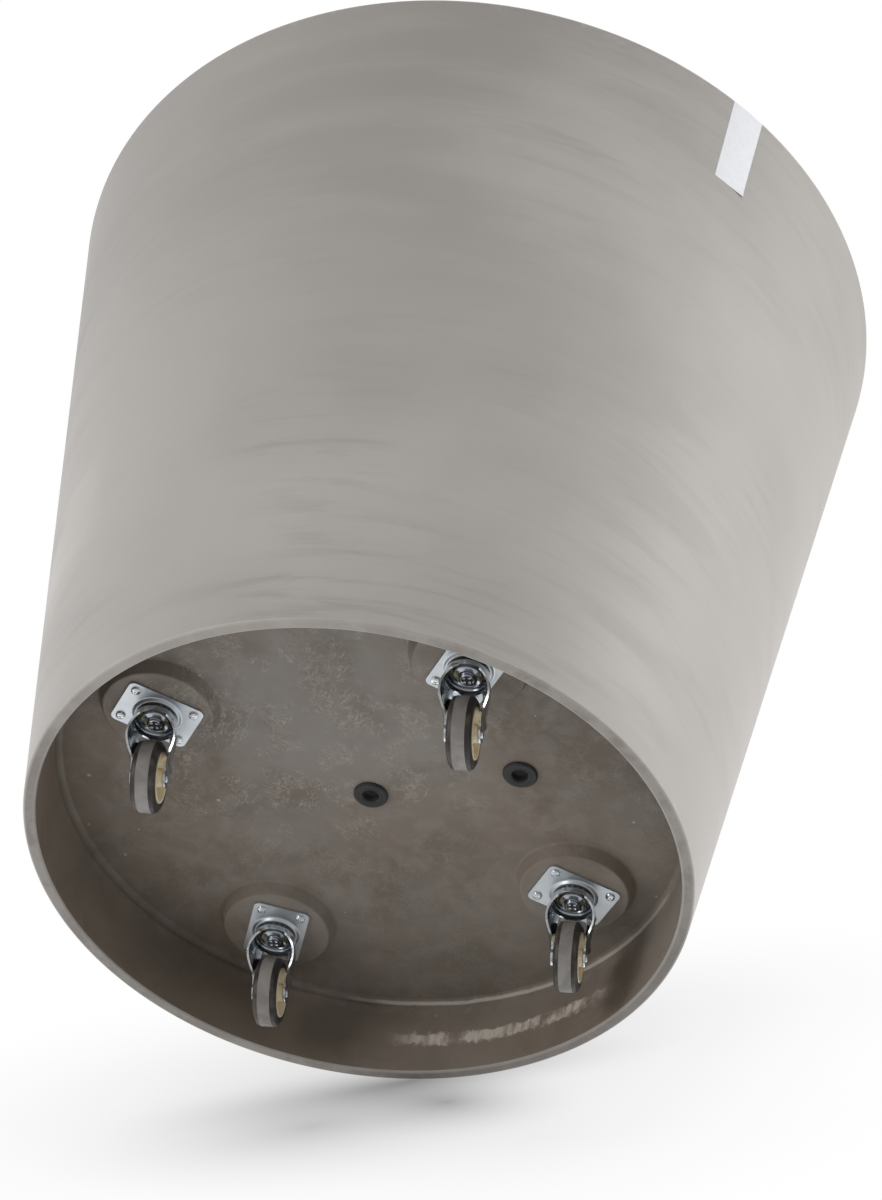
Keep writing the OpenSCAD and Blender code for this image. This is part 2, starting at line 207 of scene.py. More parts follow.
def edit(obj):
    """Opens a piece in edit mode and returns its mesh."""
    select_only(obj)
    bpy.ops.object.mode_set(mode="EDIT")
    return bmesh.from_edit_mesh(obj.data)


def leave_edit():
    bpy.ops.object.mode_set(mode="OBJECT")


def pick(obj, kind, test):
    """Selects the vertices, edges or faces of the open piece that pass a test."""
    mesh = bmesh.from_edit_mesh(obj.data)
    bpy.ops.mesh.select_mode(type={"verts": "VERT", "edges": "EDGE", "faces": "FACE"}[kind])
    bpy.ops.mesh.select_all(action="DESELECT")
    for element in getattr(mesh, kind):
        if test(element):
            element.select_set(True)
    mesh.select_flush_mode()
    bmesh.update_edit_mesh(obj.data)


def named(obj, name):
    obj.name = name
    obj.data.name = name
    return obj


def modify(obj, kind, **values):
    """Adds a modifier to a piece and applies it."""
    select_only(obj)
    bpy.ops.object.modifier_add(type=kind)
    modifier = obj.modifiers[-1]
    for key, value in values.items():
        setattr(modifier, key, value)
    bpy.ops.object.modifier_apply(modifier=modifier.name)


def soften(obj, width, segments, degrees, **values):
    """Bevels a piece's edges that are sharper than an angle."""
    modify(obj, "BEVEL", width=width * MM, segments=segments, limit_method="ANGLE",
           angle_limit=math.radians(degrees), **values)


def combine(obj, tools, operation):
    """Cuts tools from a piece or joins them to it, and removes the tools."""
    for tool in tools:
        modify(obj, "BOOLEAN", operation=operation, object=tool, solver="EXACT")
        bpy.data.objects.remove(tool)


def joined(pieces, name):
    bpy.ops.object.select_all(action="DESELECT")
    for piece in pieces:
        piece.select_set(True)
    bpy.context.view_layer.objects.active = pieces[0]
    bpy.ops.object.join()
    return named(bpy.context.object, name)


def placed(obj, matrix):
    """Puts a piece in its place and applies that to its mesh."""
    select_only(obj)
    obj.matrix_world = matrix
    bpy.ops.object.transform_apply(location=True, rotation=True, scale=True)
    return obj


def copied(obj, name, matrix):
    select_only(obj)
    bpy.ops.object.duplicate()
    return placed(named(bpy.context.object, name), matrix)


def smooth(obj, degrees=40):
    select_only(obj)
    bpy.ops.object.shade_smooth_by_angle(angle=math.radians(degrees))


def even_normals(obj, degrees=40):
    """Lets the large flat faces keep their normals beside roundings."""
    smooth(obj, degrees)
    modify(obj, "WEIGHTED_NORMAL", keep_sharp=True, weight=100)


def rounded(corners, closed, steps):
    """Corners of (x, y, rounding) as a line of points."""
    line = []
    count = len(corners)
    for i, (x, y, *rounding) in enumerate(corners):
        here = Vector((x, y))
        if not rounding or (not closed and i in (0, count - 1)):
            line.append(here)
            continue
        radius = rounding[0]
        u = (Vector(corners[i - 1][:2]) - here).normalized()
        v = (Vector(corners[(i + 1) % count][:2]) - here).normalized()
        half = u.angle(v) / 2
        centre = here + (u + v).normalized() * radius / math.sin(half)
        first = here + u * radius / math.tan(half) - centre
        last = here + v * radius / math.tan(half) - centre
        line += [centre + radius * first.lerp(last, k / steps).normalized() for k in range(steps + 1)]
    return line


def divided(line, longest):
    """The same line with no stretch longer than that."""
    out = [line[0]]
    for a, b in zip(line, line[1:]):
        parts = max(1, math.ceil((b - a).length / longest))
        out += [a.lerp(b, k / parts) for k in range(1, parts + 1)]
    return out


def trace(name, points, closed=False):
    """Draws a line of (radius, height) in millimetres from one vertex, and leaves it open for editing."""
    bpy.ops.object.select_all(action="DESELECT")
    bpy.ops.mesh.primitive_plane_add(size=MM)
    obj = named(bpy.context.object, name)
    bpy.ops.object.mode_set(mode="EDIT")
    bpy.ops.mesh.select_mode(type="VERT")
    bpy.ops.mesh.select_all(action="SELECT")
    bpy.ops.mesh.merge(type="CENTER")
    places = [Vector((p[0], 0, p[1])) * MM for p in points]
    bpy.ops.transform.translate(value=places[0])
    for a, b in zip(places, places[1:]):
        bpy.ops.mesh.extrude_vertices_move(TRANSFORM_OT_translate={"value": b - a})
    if closed:
        ends = (places[0], places[-1])
        pick(obj, "verts", lambda v: min((v.co - end).length for end in ends) < TOUCHING)
        bpy.ops.mesh.edge_face_add()
    bpy.ops.mesh.select_all(action="SELECT")
    return obj


def spin(steps, angle=math.tau):
    """Turns the open line about the Z axis into a surface."""
    bpy.ops.mesh.spin(steps=steps, angle=angle, center=(0, 0, 0), axis=(0, 0, 1))
    bpy.ops.mesh.select_all(action="SELECT")
    bpy.ops.mesh.remove_doubles(threshold=WELDED)


def face_outwards():
    """Turns the open piece's faces outwards and leaves edit mode."""
    bpy.ops.mesh.select_all(action="SELECT")
    bpy.ops.mesh.normals_make_consistent(inside=False)
    leave_edit()


def turned(name, corners, closed=False, steps=96, bend=6, longest=1000):
    """A piece turned about the Z axis from the corners of its section."""
    line = divided(rounded(corners, closed, bend), longest)
    obj = trace(name, line, closed)
    spin(steps)
    face_outwards()
    return obj


def block(name, size, centre, corner=0, steps=10):
    """A block with its upright edges rounded."""
    bpy.ops.object.select_all(action="DESELECT")
    bpy.ops.mesh.primitive_cube_add(size=1, location=Vector(centre) * MM, scale=Vector(size) * MM)
    obj = named(bpy.context.object, name)
    bpy.ops.object.transform_apply(location=True, rotation=True, scale=True)
    if corner:
        edit(obj)
        pick(obj, "edges", lambda e: abs(e.verts[0].co.z - e.verts[1].co.z) > MM / 10)
        bpy.ops.mesh.bevel(offset=corner * MM, segments=steps, affect="EDGES")
        leave_edit()
    return obj


def mark_edges(obj, full_angle):
    """Stores at each vertex how sharply the surface turns outwards there, which worn edges and painted edge
    highlights follow.
    """
    mesh = bmesh.new()
    mesh.from_mesh(obj.data)
    layer = mesh.verts.layers.float.new("edge_wear")
    for v in mesh.verts:
        turns = [e.calc_face_angle_signed(0) for e in v.link_edges if len(e.link_faces) == 2]
        v[layer] = min(1, max(turns, default=0) / full_angle)
    mesh.to_mesh(obj.data)
    mesh.free()


def dressed(obj, body, slot, nodes, *materials):
    """Gives a finished piece its materials and its body, and hides the CAD nodes that it stands for; the
    slot is not used.
    """
    obj.data.materials.clear()
    for material in materials:
        obj.data.materials.append(material)
    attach(obj, body)
    if nodes:
        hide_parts(*nodes)
    return obj


def kept(node, material):
    """Gives a CAD node that stays its finish."""
    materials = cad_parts[node].data.materials
    materials.clear()
    materials.append(material)


# Places of the casters, read from the frame

# How far each plate is turned from the radius on which its kingpin stands
PLATE_TURNS = (0, math.radians(-14), 0, 0)


def head_place(k, turn):
    """Frame on the kingpin, level with the boss."""
    pin = middle(f"lower_race_cup_{k}")
    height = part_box(f"mounting_plate_{k}")[1].z
    return Matrix.Translation((pin.x, pin.y, height)) @ Matrix.Rotation(turn, 4, "Z")


def caster_place(k):
    """Frame of a swivel head, x towards the trailing axle."""
    pin = middle(f"lower_race_cup_{k}")
    axle = middle(f"wheel_hub_{k}")
    return head_place(k, math.atan2(axle.y - pin.y, axle.x - pin.x))


def plate_place(k):
    """Frame of a mounting plate, x along its length."""
    pin = middle(f"lower_race_cup_{k}")
    return head_place(k, math.atan2(pin.y, pin.x) + PLATE_TURNS[k - 1])


def axle_place(k):
    """Frame of a wheel: on the middle of its axle, z along the axle."""
    heading = caster_place(k).to_euler().z
    turn = Matrix.Rotation(heading, 4, "Z") @ Matrix.Rotation(math.radians(-90), 4, "X")
    return Matrix.Translation(middle(f"wheel_hub_{k}")) @ turn


# Node building

class Graph:
    """A node tree under construction, where an input is a value or the socket that feeds it."""

    def __init__(self, tree):
        self.tree = tree

    def fill(self, node, inputs):
        for key, value in inputs.items():
            if isinstance(value, bpy.types.NodeSocket):
                self.tree.links.new(value, node.inputs[key])
            else:
                node.inputs[key].default_value = value
        return node

    def add(self, kind, inputs=None, **settings):
        node = self.tree.nodes.new("ShaderNode" + kind)
        for key, value in settings.items():
            setattr(node, key, value)
        return self.fill(node, inputs or {})

    def math(self, operation, a, b=0.0):
        return self.add("Math", {0: a, 1: b}, operation=operation).outputs[0]

    def times(self, a, b):
        return self.math("MULTIPLY", a, b)

    def vector(self, operation, a, b=(0, 0, 0), output=0):
        return self.add("VectorMath", {0: a, 1: b}, operation=operation).outputs[output]

    def height(self, vector):
        return self.add("SeparateXYZ", {0: vector}).outputs["Z"]

    def noise(self, vector, scale, detail, roughness, distortion=0.0):
        inputs = {"Vector": vector, "Scale": scale, "Detail": detail, "Roughness": roughness}
        return self.add("TexNoise", {**inputs, "Distortion": distortion}).outputs

    def between(self, value, low, high, to_low=0.0, to_high=1.0):
        """The value's place between two limits, clamped and eased."""
        inputs = {"Value": value, "From Min": low, "From Max": high, "To Min": to_low, "To Max": to_high}
        return self.add("MapRange", inputs, interpolation_type="SMOOTHSTEP").outputs[0]

    def mix(self, factor, a, b, blend="MIX"):
        a, b = (c if isinstance(c, bpy.types.NodeSocket) else (*c, 1) for c in (a, b))
        return self.add("Mix", {0: factor, 6: a, 7: b}, data_type="RGBA", blend_type=blend).outputs[2]


# The effects' node groups by name
EFFECTS = {}


class Effect(Graph):
    """A node group with a Vector and other named inputs, and with named outputs."""

    def __init__(self, name, outputs, **inputs):
        super().__init__(bpy.data.node_groups.new(name, "ShaderNodeTree"))
        EFFECTS[name] = self.tree
        for label, value in {"Vector": (0, 0, 0), **inputs}.items():
            kind = "NodeSocketFloat" if isinstance(value, float) else "NodeSocketVector"
            self.tree.interface.new_socket(label, in_out="INPUT", socket_type=kind).default_value = value
        for label in outputs:
            self.tree.interface.new_socket(label, in_out="OUTPUT", socket_type="NodeSocketFloat")
        self.start = self.tree.nodes.new("NodeGroupInput")

    def __getitem__(self, label):
        return self.start.outputs[label]

    def close(self, **outputs):
        self.fill(self.tree.nodes.new("NodeGroupOutput"), outputs)


def clouding_effect():
    """Soft blotches, drawn out by Stretch."""
    group = Effect("Clouding", ["Mask"], Scale=5.0, Low=0.4, High=0.6, Stretch=(1, 1, 1), Detail=6.0)
    spot = group.vector("MULTIPLY", group["Vector"], group["Stretch"])
    cloud = group.noise(spot, group["Scale"], group["Detail"], 0.58, 0.35)[0]
    group.close(Mask=group.between(cloud, group["Low"], group["High"]))


def grain_effect():
    """Fine pits and grain of a moulded or plated surface, as a height and as a mask."""
    group = Effect("Grain", ["Height", "Mask"], Scale=400.0, Pits=0.3)
    pits_per_grain = 0.22
    pit_radius = 0.22
    fine = group.noise(group["Vector"], group["Scale"], 4.0, 0.65)[0]
    inputs = {"Vector": group["Vector"], "Scale": group.times(group["Scale"], pits_per_grain)}
    off_pit = group.add("TexVoronoi", inputs).outputs["Distance"]
    depth = group.times(group.between(off_pit, 0.0, pit_radius, 1.0, 0.0), group["Pits"])
    group.close(Height=group.math("SUBTRACT", fine, depth), Mask=fine)


def scuff_effect():
    """Thin pale strokes that lie in patches, turned by Turn and drawn out by Draw."""
    group = Effect("Scuffs", ["Mask"], Scale=40.0, Amount=0.5, Turn=(0, 0, 0), Draw=(0.16, 1, 1),
                   Thickness=0.014)
    patches_per_stroke = 0.16
    patch_fade = 0.09
    inputs = {"Vector": group["Vector"], "Rotation": group["Turn"]}
    spot = group.add("VectorRotate", inputs, rotation_type="EULER_XYZ").outputs[0]
    strokes = group.noise(group.vector("MULTIPLY", spot, group["Draw"]), group["Scale"], 3.0, 0.7, 0.8)[0]
    ridge = group.math("ABSOLUTE", group.math("SUBTRACT", strokes, 0.5))
    thin = group.between(ridge, 0.0, group["Thickness"], 1.0, 0.0)
    patches = group.noise(group["Vector"], group.times(group["Scale"], patches_per_stroke), 3.0, 0.6)[0]
    edge = group.math("SUBTRACT", 0.74, group.times(group["Amount"], 0.25))
    where = group.between(patches, edge, group.math("ADD", edge, patch_fade))
    group.close(Mask=group.times(thin, where))


def speck_effect():
    """Small pale specks, sparse and of uneven size."""
    group = Effect("Specks", ["Mask"], Scale=120.0, Amount=0.3)
    largest = 0.22
    inputs = {"Vector": group["Vector"], "Scale": group["Scale"], "Randomness": 1.0}
    cells = group.add("TexVoronoi", inputs).outputs
    chance = group.add("SeparateColor", {"Color": cells["Color"]}).outputs
    dot = group.math("LESS_THAN", cells["Distance"], group.times(chance[1], largest))
    chosen = group.math("LESS_THAN", chance[0], group["Amount"])
    group.close(Mask=group.times(dot, chosen))


def edge_wear_and_highlight_effect():
    """Pale edges, broken up by noise: wear with a painted highlight on the composite, a painted highlight
    alone on the metal.
    """
    group = Effect("Edge wear", ["Mask"], Edge=0.0, Scale=60.0, Wear=0.5)
    noise = group.noise(group["Vector"], group["Scale"], 5.0, 0.7)[0]
    rubbed = group.math("ADD", group["Edge"], group.math("SUBTRACT", noise, 0.62))
    group.close(Mask=group.times(group.between(rubbed, 0.35, 0.85), group["Wear"]))


def warped(group):
    """The group's Vector, shifted by noise as far as its Wobble."""
    noise = group.noise(group["Vector"], group["Scale"], 5.0, 0.6)["Color"]
    level = group.vector("SUBTRACT", noise, (0.5, 0.5, 0.5))
    shift = group.add("VectorMath", {0: level, "Scale": group["Wobble"]}, operation="SCALE").outputs[0]
    return group.vector("ADD", group["Vector"], shift)


def zone_effect():
    """A soft, uneven patch about one place."""
    group = Effect("Zone", ["Mask"], Centre=(0, 0, 0), Inner=0.1, Outer=0.2, Wobble=0.1, Scale=10.0)
    far = group.vector("DISTANCE", warped(group), group["Centre"], "Value")
    group.close(Mask=group.between(far, group["Inner"], group["Outer"], 1.0, 0.0))


# Radii, in metres, between which the floor gives way to the inside of the skirt
SKIRT_WALL_FROM = (0.322, 0.334)


def wall_band_effect():
    """A ragged level band on the inside of the skirt, centred on a direction."""
    group = Effect("Wall band", ["Mask"], Direction=(0, 1, 0), Reach=0.9, Level=0.06, Width=0.01,
                   Wobble=0.02, Scale=60.0)
    end_fade = 0.06
    off = group.math("ABSOLUTE", group.math("SUBTRACT", group.height(warped(group)), group["Level"]))
    band = group.between(off, group.times(group["Width"], 0.5), group["Width"], 1.0, 0.0)
    flat = group.vector("MULTIPLY", group["Vector"], (1, 1, 0))
    along = group.vector("DOT_PRODUCT", group.vector("NORMALIZE", flat), group["Direction"], "Value")
    near = group.between(along, group["Reach"], group.math("ADD", group["Reach"], end_fade))
    on_wall = group.between(group.vector("LENGTH", flat, output="Value"), *SKIRT_WALL_FROM)
    group.close(Mask=group.times(group.times(band, near), on_wall))


def build_effects():
    for build in (clouding_effect, grain_effect, scuff_effect, speck_effect, edge_wear_and_highlight_effect,
                  zone_effect, wall_band_effect):
        build()


class Finish(Graph):
    """A material under construction: its shader, its object coordinates and its colour so far."""

    def __init__(self, name, **shader):
        self.material = bpy.data.materials.new(name)
        self.material.use_nodes = True
        super().__init__(self.material.node_tree)
        self.shader = self.tree.nodes["Principled BSDF"]
        for key, value in shader.items():
            self.shader.inputs[key.replace("_", " ")].default_value = value
        self.spot = self.add("TexCoord").outputs["Object"]
        self.colour = None

    def use(self, name, *values):
        """Places an effect on the object's coordinates and fills its other inputs in order."""
        node = self.tree.nodes.new("ShaderNodeGroup")
        node.node_tree = EFFECTS[name]
        return self.fill(node, dict(enumerate((self.spot, *values)))).outputs

    def mask(self, name, *values):
        return self.use(name, *values)[0]

    def clouds(self, *values):
        return self.mask("Clouding", *values)

    def wall_band(self, degrees, *values):
        a = math.radians(degrees)
        return self.mask("Wall band", (math.cos(a), math.sin(a), 0), *values)

    def edge_wear(self, *values):
        edge = self.add("Attribute", attribute_name="edge_wear").outputs["Fac"]
        return self.mask("Edge wear", edge, *values)

    def feed(self, label, socket):
        self.tree.links.new(socket, self.shader.inputs[label])
        return socket

    def tone(self, mask, a, b):
        """Starts the colour, from one to another over a mask."""
        self.colour = self.feed("Base Color", self.mix(mask, a, b))

    def layer(self, mask, strength, colour, blend="MIX"):
        """Lays a colour over the colour so far."""
        mixed = self.mix(self.times(mask, strength), self.colour, colour, blend)
        self.colour = self.feed("Base Color", mixed)

    def rough(self, mask, low, high):
        self.feed("Roughness", self.between(mask, 0.0, 1.0, low, high))

    def relief(self, height, distance, strength):
        node = self.add("Bump", {"Height": height, "Distance": distance, "Strength": strength})
        self.feed("Normal", node.outputs[0])


# Finishes

# Paler patches on the outside: place, solid and faded radius, and strength
OUTSIDE_PATCHES = (
    ((0.09, -0.36, 0.16), 0.04, 0.2, 0.4),
    ((0.29, -0.34, 0.68), 0.04, 0.24, 0.4),
    ((-0.3, -0.26, 0.27), 0.02, 0.12, 0.5),
)

# Patches under the floor, and a painted shadow on the inside of the skirt: place, solid and faded radius,
# strength and colour
UNDERSIDE_PATCHES_AND_SHADOW = (
    ((-0.01, -0.14, 0.114), 0.06, 0.2, 0.6, (0.28, 0.262, 0.24)),
    ((0.11, -0.05, 0.114), 0.02, 0.11, 0.3, (0.28, 0.262, 0.24)),
    ((-0.12, 0.03, 0.114), 0.01, 0.1, 0.35, (0.28, 0.262, 0.24)),
    ((0.25, -0.07, 0.114), 0.05, 0.18, 0.75, (0.13, 0.102, 0.074)),
    ((-0.13, 0.13, 0.114), 0.03, 0.13, 0.4, (0.27, 0.24, 0.205)),
    # Painted shadow on the inside of the skirt.
    ((-0.24, 0.235, 0.02), 0.06, 0.17, 0.5, (0.12, 0.095, 0.07)),
    ((0.27, 0.2, 0.08), 0.03, 0.12, 0.5, (0.3, 0.265, 0.225)),
)

# Bands round the inside of the skirt: direction, reach, level, width, wobble and scale
RAGGED_BAND = (81, 0.9, 0.061, 0.01, 0.022, 110.0)
PALE_JUNCTION = (76, 0.76, 0.1105, 0.0022, 0.004, 30.0)
# Painted shade in the crease where the floor meets the skirt.
PAINTED_CREASE_SHADE = (170, 0.45, 0.109, 0.006, 0.004, 30.0)

# Zones of the rim's face, one of painted light and one of painted shade, and of the floor: place, solid and
# faded radius, wobble and scale
PAINTED_RIM_LIGHT = ((-0.04, -0.345, 0.014), 0.1, 0.3, 0.05, 9.0)
PAINTED_RIM_SHADE = ((0.2, 0.29, 0.014), 0.1, 0.3, 0.05, 9.0)
CREASED_FLOOR = ((-0.03, -0.1, 0.114), 0.1, 0.27, 0.12, 8.0)


def composite_outside(finish):
    """Matte stone composite with soft level smears."""
    made = Finish("composite_outside", Specular_IOR_Level=0.4)
    smears = made.clouds(3.0, 0.42, 0.68, (1, 1, 6), 4.5)
    streaks = made.clouds(7.0, 0.46, 0.72, (1, 1, 9), 5.0)
    where = made.clouds(2.0, 0.4, 0.64, (1, 1, 1.5), 2.0)
    fine = made.use("Grain", 340.0, 0.25)
    made.tone(made.clouds(1.7, 0.36, 0.66, (1, 1, 1.6), 3.0), finish.composite, finish.composite_dark)
    # Painted shade: the outside is darkened towards the top.
    made.layer(made.between(made.height(made.spot), 0.2, 0.9), 1.0, (0.8, 0.79, 0.78), "MULTIPLY")
    made.layer(smears, 0.35, (0.37, 0.346, 0.323))
    for *zone, amount in OUTSIDE_PATCHES:
        made.layer(made.mask("Zone", *zone, 0.25, 4.0), amount, (0.45, 0.42, 0.39))
    made.layer(made.times(streaks, where), 0.42, (0.21, 0.197, 0.186))
    made.layer(fine["Mask"], 0.12, (0.2, 0.185, 0.17))
    # Pale rounded edges: wear, with a painted highlight.
    made.layer(made.edge_wear(70.0, finish.wear), 1.0, (0.5, 0.47, 0.44))
    made.rough(smears, 0.52, 0.64)
    made.relief(fine["Height"], 0.0003, 0.3)
    return made.material


def composite_underside(finish):
    """Rougher brown grey composite under the floor, with patches, creases, specks and ragged bands, and with
    painted shade on the skirt and in a crease.
    """
    made = Finish("composite_underside", Specular_IOR_Level=0.35)
    made.tone(made.times(made.clouds(4.2, 0.36, 0.66), 0.55), finish.underside, finish.underside_pale)
    for *zone, amount, shade in UNDERSIDE_PATCHES_AND_SHADOW:
        made.layer(made.mask("Zone", *zone, 0.11, 9.0), amount, shade)
    patches = made.clouds(11.0, 0.42, 0.68)
    made.layer(patches, 0.42, (0.125, 0.097, 0.073))
    made.layer(made.clouds(6.5, 0.5, 0.72, (1.3, 0.8, 1)), 0.25, (0.2, 0.195, 0.16))
    on_floor = made.between(made.height(made.spot), 0.09, 0.1)
    made.layer(made.times(made.clouds(42.0, 0.42, 0.66), on_floor), 0.3, (0.29, 0.265, 0.235))
    coarse_creases = made.mask("Scuffs", 75.0, 1.0, (0, 0, 0.8), (0.55, 1, 1), 0.03)
    fine_creases = made.mask("Scuffs", 120.0, 0.95, (0, 0, 2.2), (0.5, 1, 1), 0.035)
    creases = made.math("MAXIMUM", coarse_creases, fine_creases)
    creases = made.times(creases, made.between(made.mask("Zone", *CREASED_FLOOR), 0.0, 1.0, 0.25, 1.0))
    marks = made.math("MAXIMUM", made.times(creases, 0.7), made.mask("Specks", 95.0, 0.05))
    marks = made.times(marks, on_floor)
    made.layer(marks, 0.65, (0.52, 0.45, 0.38))
    broken = made.times(made.wall_band(*RAGGED_BAND), made.clouds(38.0, 0.34, 0.56))
    upright = made.clouds(150.0, 0.36, 0.58, (1, 1, 0.16))
    ragged = made.times(broken, made.between(upright, 0.0, 1.0, 0.45, 1.0))
    junction = made.wall_band(*PALE_JUNCTION)
    pale = made.math("MAXIMUM", made.times(ragged, 0.95), made.times(junction, 0.6))
    made.layer(pale, 1.0, (0.58, 0.52, 0.45))
    # Painted shade along that crease.
    made.layer(made.wall_band(*PAINTED_CREASE_SHADE), 0.35, (0.07, 0.055, 0.04))
    made.rough(patches, 0.46, 0.66)
    pitted = made.mask("Grain", 260.0, 0.45)
    made.relief(made.math("ADD", pitted, made.times(marks, 0.6)), 0.0004, 0.5)
    return made.material


def clouded(name, clouds, tones, rough, grain, relief, **shader):
    """A finish of two tones in soft clouds over fine grain, open for further layers."""
    made = Finish(name, **shader)
    cloud = made.clouds(*clouds)
    made.tone(cloud, *tones)
    made.rough(cloud, *rough)
    made.relief(made.mask("Grain", *grain), *relief)
    return made


def composite_rim(finish):
    """Face of the skirt's edge and of the top rim: mottled, with a patch of painted light, a patch of
    painted shade, and pale rounded edges of wear and painted highlight.
    """
    made = clouded(
        "composite_rim", clouds=(26.0, 0.4, 0.62), tones=((0.24, 0.212, 0.186), (0.33, 0.305, 0.28)),
        rough=(0.5, 0.7), grain=(220.0, 0.5), relief=(0.0005, 0.5), Specular_IOR_Level=0.4,
    )
    # Painted light on one side of the rim's face, painted shade on the other.
    made.layer(made.mask("Zone", *PAINTED_RIM_LIGHT), 0.45, (0.45, 0.42, 0.385))
    made.layer(made.mask("Zone", *PAINTED_RIM_SHADE), 0.45, (0.15, 0.132, 0.115))
    # Pale rounded edges: wear, with a painted highlight.
    made.layer(made.edge_wear(90.0, finish.wear), 0.7, (0.46, 0.425, 0.39))
    return made.material


def composite_inside():
    """Plain moulded face of the planting space."""
    return clouded(
        "composite_inside", clouds=(3.0, 0.38, 0.64, (1, 1, 2.4)),
        tones=((0.2, 0.18, 0.16), (0.26, 0.238, 0.215)),
        rough=(0.6, 0.78), grain=(240.0, 0.4), relief=(0.0004, 0.5), Specular_IOR_Level=0.3,
    ).material


def tinted(colour, tint):
    return tuple(a * b for a, b in zip(colour, tint))


def zinc_plating(name, finish, tint, dull=0.0):
    """Bright zinc: faint crystals and wipe marks, a blue cast and painted highlights on the edges."""
    plain = tinted(finish.zinc, tint)
    made = Finish(name, Metallic=1.0)
    mottle = made.clouds(70.0, 0.36, 0.66)
    made.tone(mottle, plain, tinted(plain, (0.93, 0.955, 0.98)))
    made.layer(made.clouds(420.0, 0.4, 0.6), 0.1, tinted(plain, (0.8, 0.8, 0.8)))
    # Painted highlight on the edges.
    made.layer(made.edge_wear(120.0, 1.0), 1.0, (0.9, 0.92, 0.93))
    wiped = made.mask("Scuffs", 160.0, 0.6, (0, 0, 0.5))
    level = made.math("ADD", made.times(mottle, 0.6), made.times(wiped, 0.4))
    made.rough(level, 0.17 + dull, 0.23 + dull)
    made.relief(made.mask("Grain", 900.0, 0.1), 0.00003, 0.12)
    return made.material


def hub_nylon(finish):
    """Beige nylon, a little glossy, with moulding flow and faint brown clouds."""
    made = clouded(
        "hub_nylon", clouds=(60.0, 0.38, 0.64), tones=(finish.nylon, tinted(finish.nylon, (0.92,) * 3)),
        rough=(0.32, 0.48), grain=(700.0, 0.2), relief=(0.0001, 0.3),
        Specular_IOR_Level=0.5, Subsurface_Weight=0.12, Subsurface_Scale=0.002,
    )
    made.layer(made.clouds(140.0, 0.5, 0.72), 0.2, (0.5, 0.38, 0.22))
    return made.material


def tyre_rubber(finish):
    """Dark brown grey side walls with a little bloom."""
    return clouded(
        "tyre_side", clouds=(70.0, 0.42, 0.68), tones=(finish.rubber, (0.085, 0.072, 0.062)),
        rough=(0.42, 0.6), grain=(600.0, 0.3), relief=(0.0001, 0.4), Specular_IOR_Level=0.4,
    ).material


def running_band(finish):
    """Dusty grey running band with scuffs."""
    made = clouded(
        "tyre_band", clouds=(55.0, 0.36, 0.64), tones=(finish.band, tinted(finish.band, (0.78,) * 3)),
        rough=(0.55, 0.75), grain=(480.0, 0.4), relief=(0.00015, 0.4), Specular_IOR_Level=0.3,
    )
    made.layer(made.mask("Scuffs", 210.0, 0.7, (0, 0, 1.2)), 0.3, (0.1, 0.09, 0.08))
    return made.material


def plug_rubber():
    """Charcoal rubber of the drain plugs, in soft clouds of two tones."""
    return clouded(
        "plug_rubber", clouds=(60.0, 0.4, 0.66), tones=((0.02, 0.021, 0.021), (0.045, 0.044, 0.042)),
        rough=(0.5, 0.72), grain=(520.0, 0.3), relief=(0.00012, 0.4), Specular_IOR_Level=0.4,
    ).material


def label_paper():
    """Bare white satin label stock with faint fibres."""
    return clouded(
        "label_white", clouds=(160.0, 0.4, 0.66, (1, 1, 3)),
        tones=((0.56, 0.565, 0.58), (0.53, 0.535, 0.55)),
        rough=(0.34, 0.46), grain=(900.0, 0.15), relief=(0.00005, 0.3), Specular_IOR_Level=0.45,
    ).material


# Soft shadows on the floor: place, half axes, turn and darkness
FLOOR_SHADOWS = (
    ((0.055, -0.109), (0.159, 0.186), -0.363, 0.373),
    ((0.017, -0.012), (0.416, 0.114), 0.664, 0.418),
    ((-0.086, -0.213), (0.392, 0.245), 0.881, 0.342),
    ((0.150, -0.268), (0.372, 0.687), -0.654, 0.112),
    ((0.041, 0.124), (1.024, 0.484), 0.869, 0.325),
)


def studio_floor():
    """Clear floor that shows only the soft shadow round the point that the planter leans on."""
    made = Finish("studio_floor", Base_Color=(0, 0, 0, 1), Roughness=0.9, Specular_IOR_Level=0.0)
    dark = 0.0
    for (x, y), (long, wide), turn, darkness in FLOOR_SHADOWS:
        inputs = {"Location": (x, y, 0), "Rotation": (0, 0, turn), "Scale": (long, wide, 1)}
        spot = made.add("Mapping", {"Vector": made.spot, **inputs}, vector_type="TEXTURE").outputs[0]
        spread = made.add("TexGradient", {"Vector": spot}, gradient_type="QUADRATIC_SPHERE").outputs["Fac"]
        dark = made.math("ADD", made.times(spread, darkness), dark)
    made.feed("Alpha", dark)
    clear = made.add("BsdfTransparent").outputs[0]
    behind = made.add("NewGeometry").outputs["Backfacing"]
    chosen = made.add("MixShader", {0: behind, 1: made.shader.outputs[0], 2: clear}).outputs[0]
    made.tree.links.new(chosen, made.tree.nodes["Material Output"].inputs["Surface"])
    return made.material


# Pieces

# Length of a drain plug's flange below the floor
PLUG_FLANGE = 4

# Fillets where the floor meets the skirt below it and the wall above it
SKIRT_FILLET = 7
FLOOR_FILLET = 25

# Finishes of the pot's faces, by slot, and the depths that tell them apart
OUTSIDE, UNDERSIDE, RIM, INSIDE = range(4)
RIM_FACE = 2.6
OUTER_SKIN = 4
FLOOR_SKIN = 3


def widening(pot):
    """How much the pot's radius grows with its height."""
    return (pot.top_radius - pot.foot_radius) / (high_mm("pot_shell") - low_mm("pot_shell"))


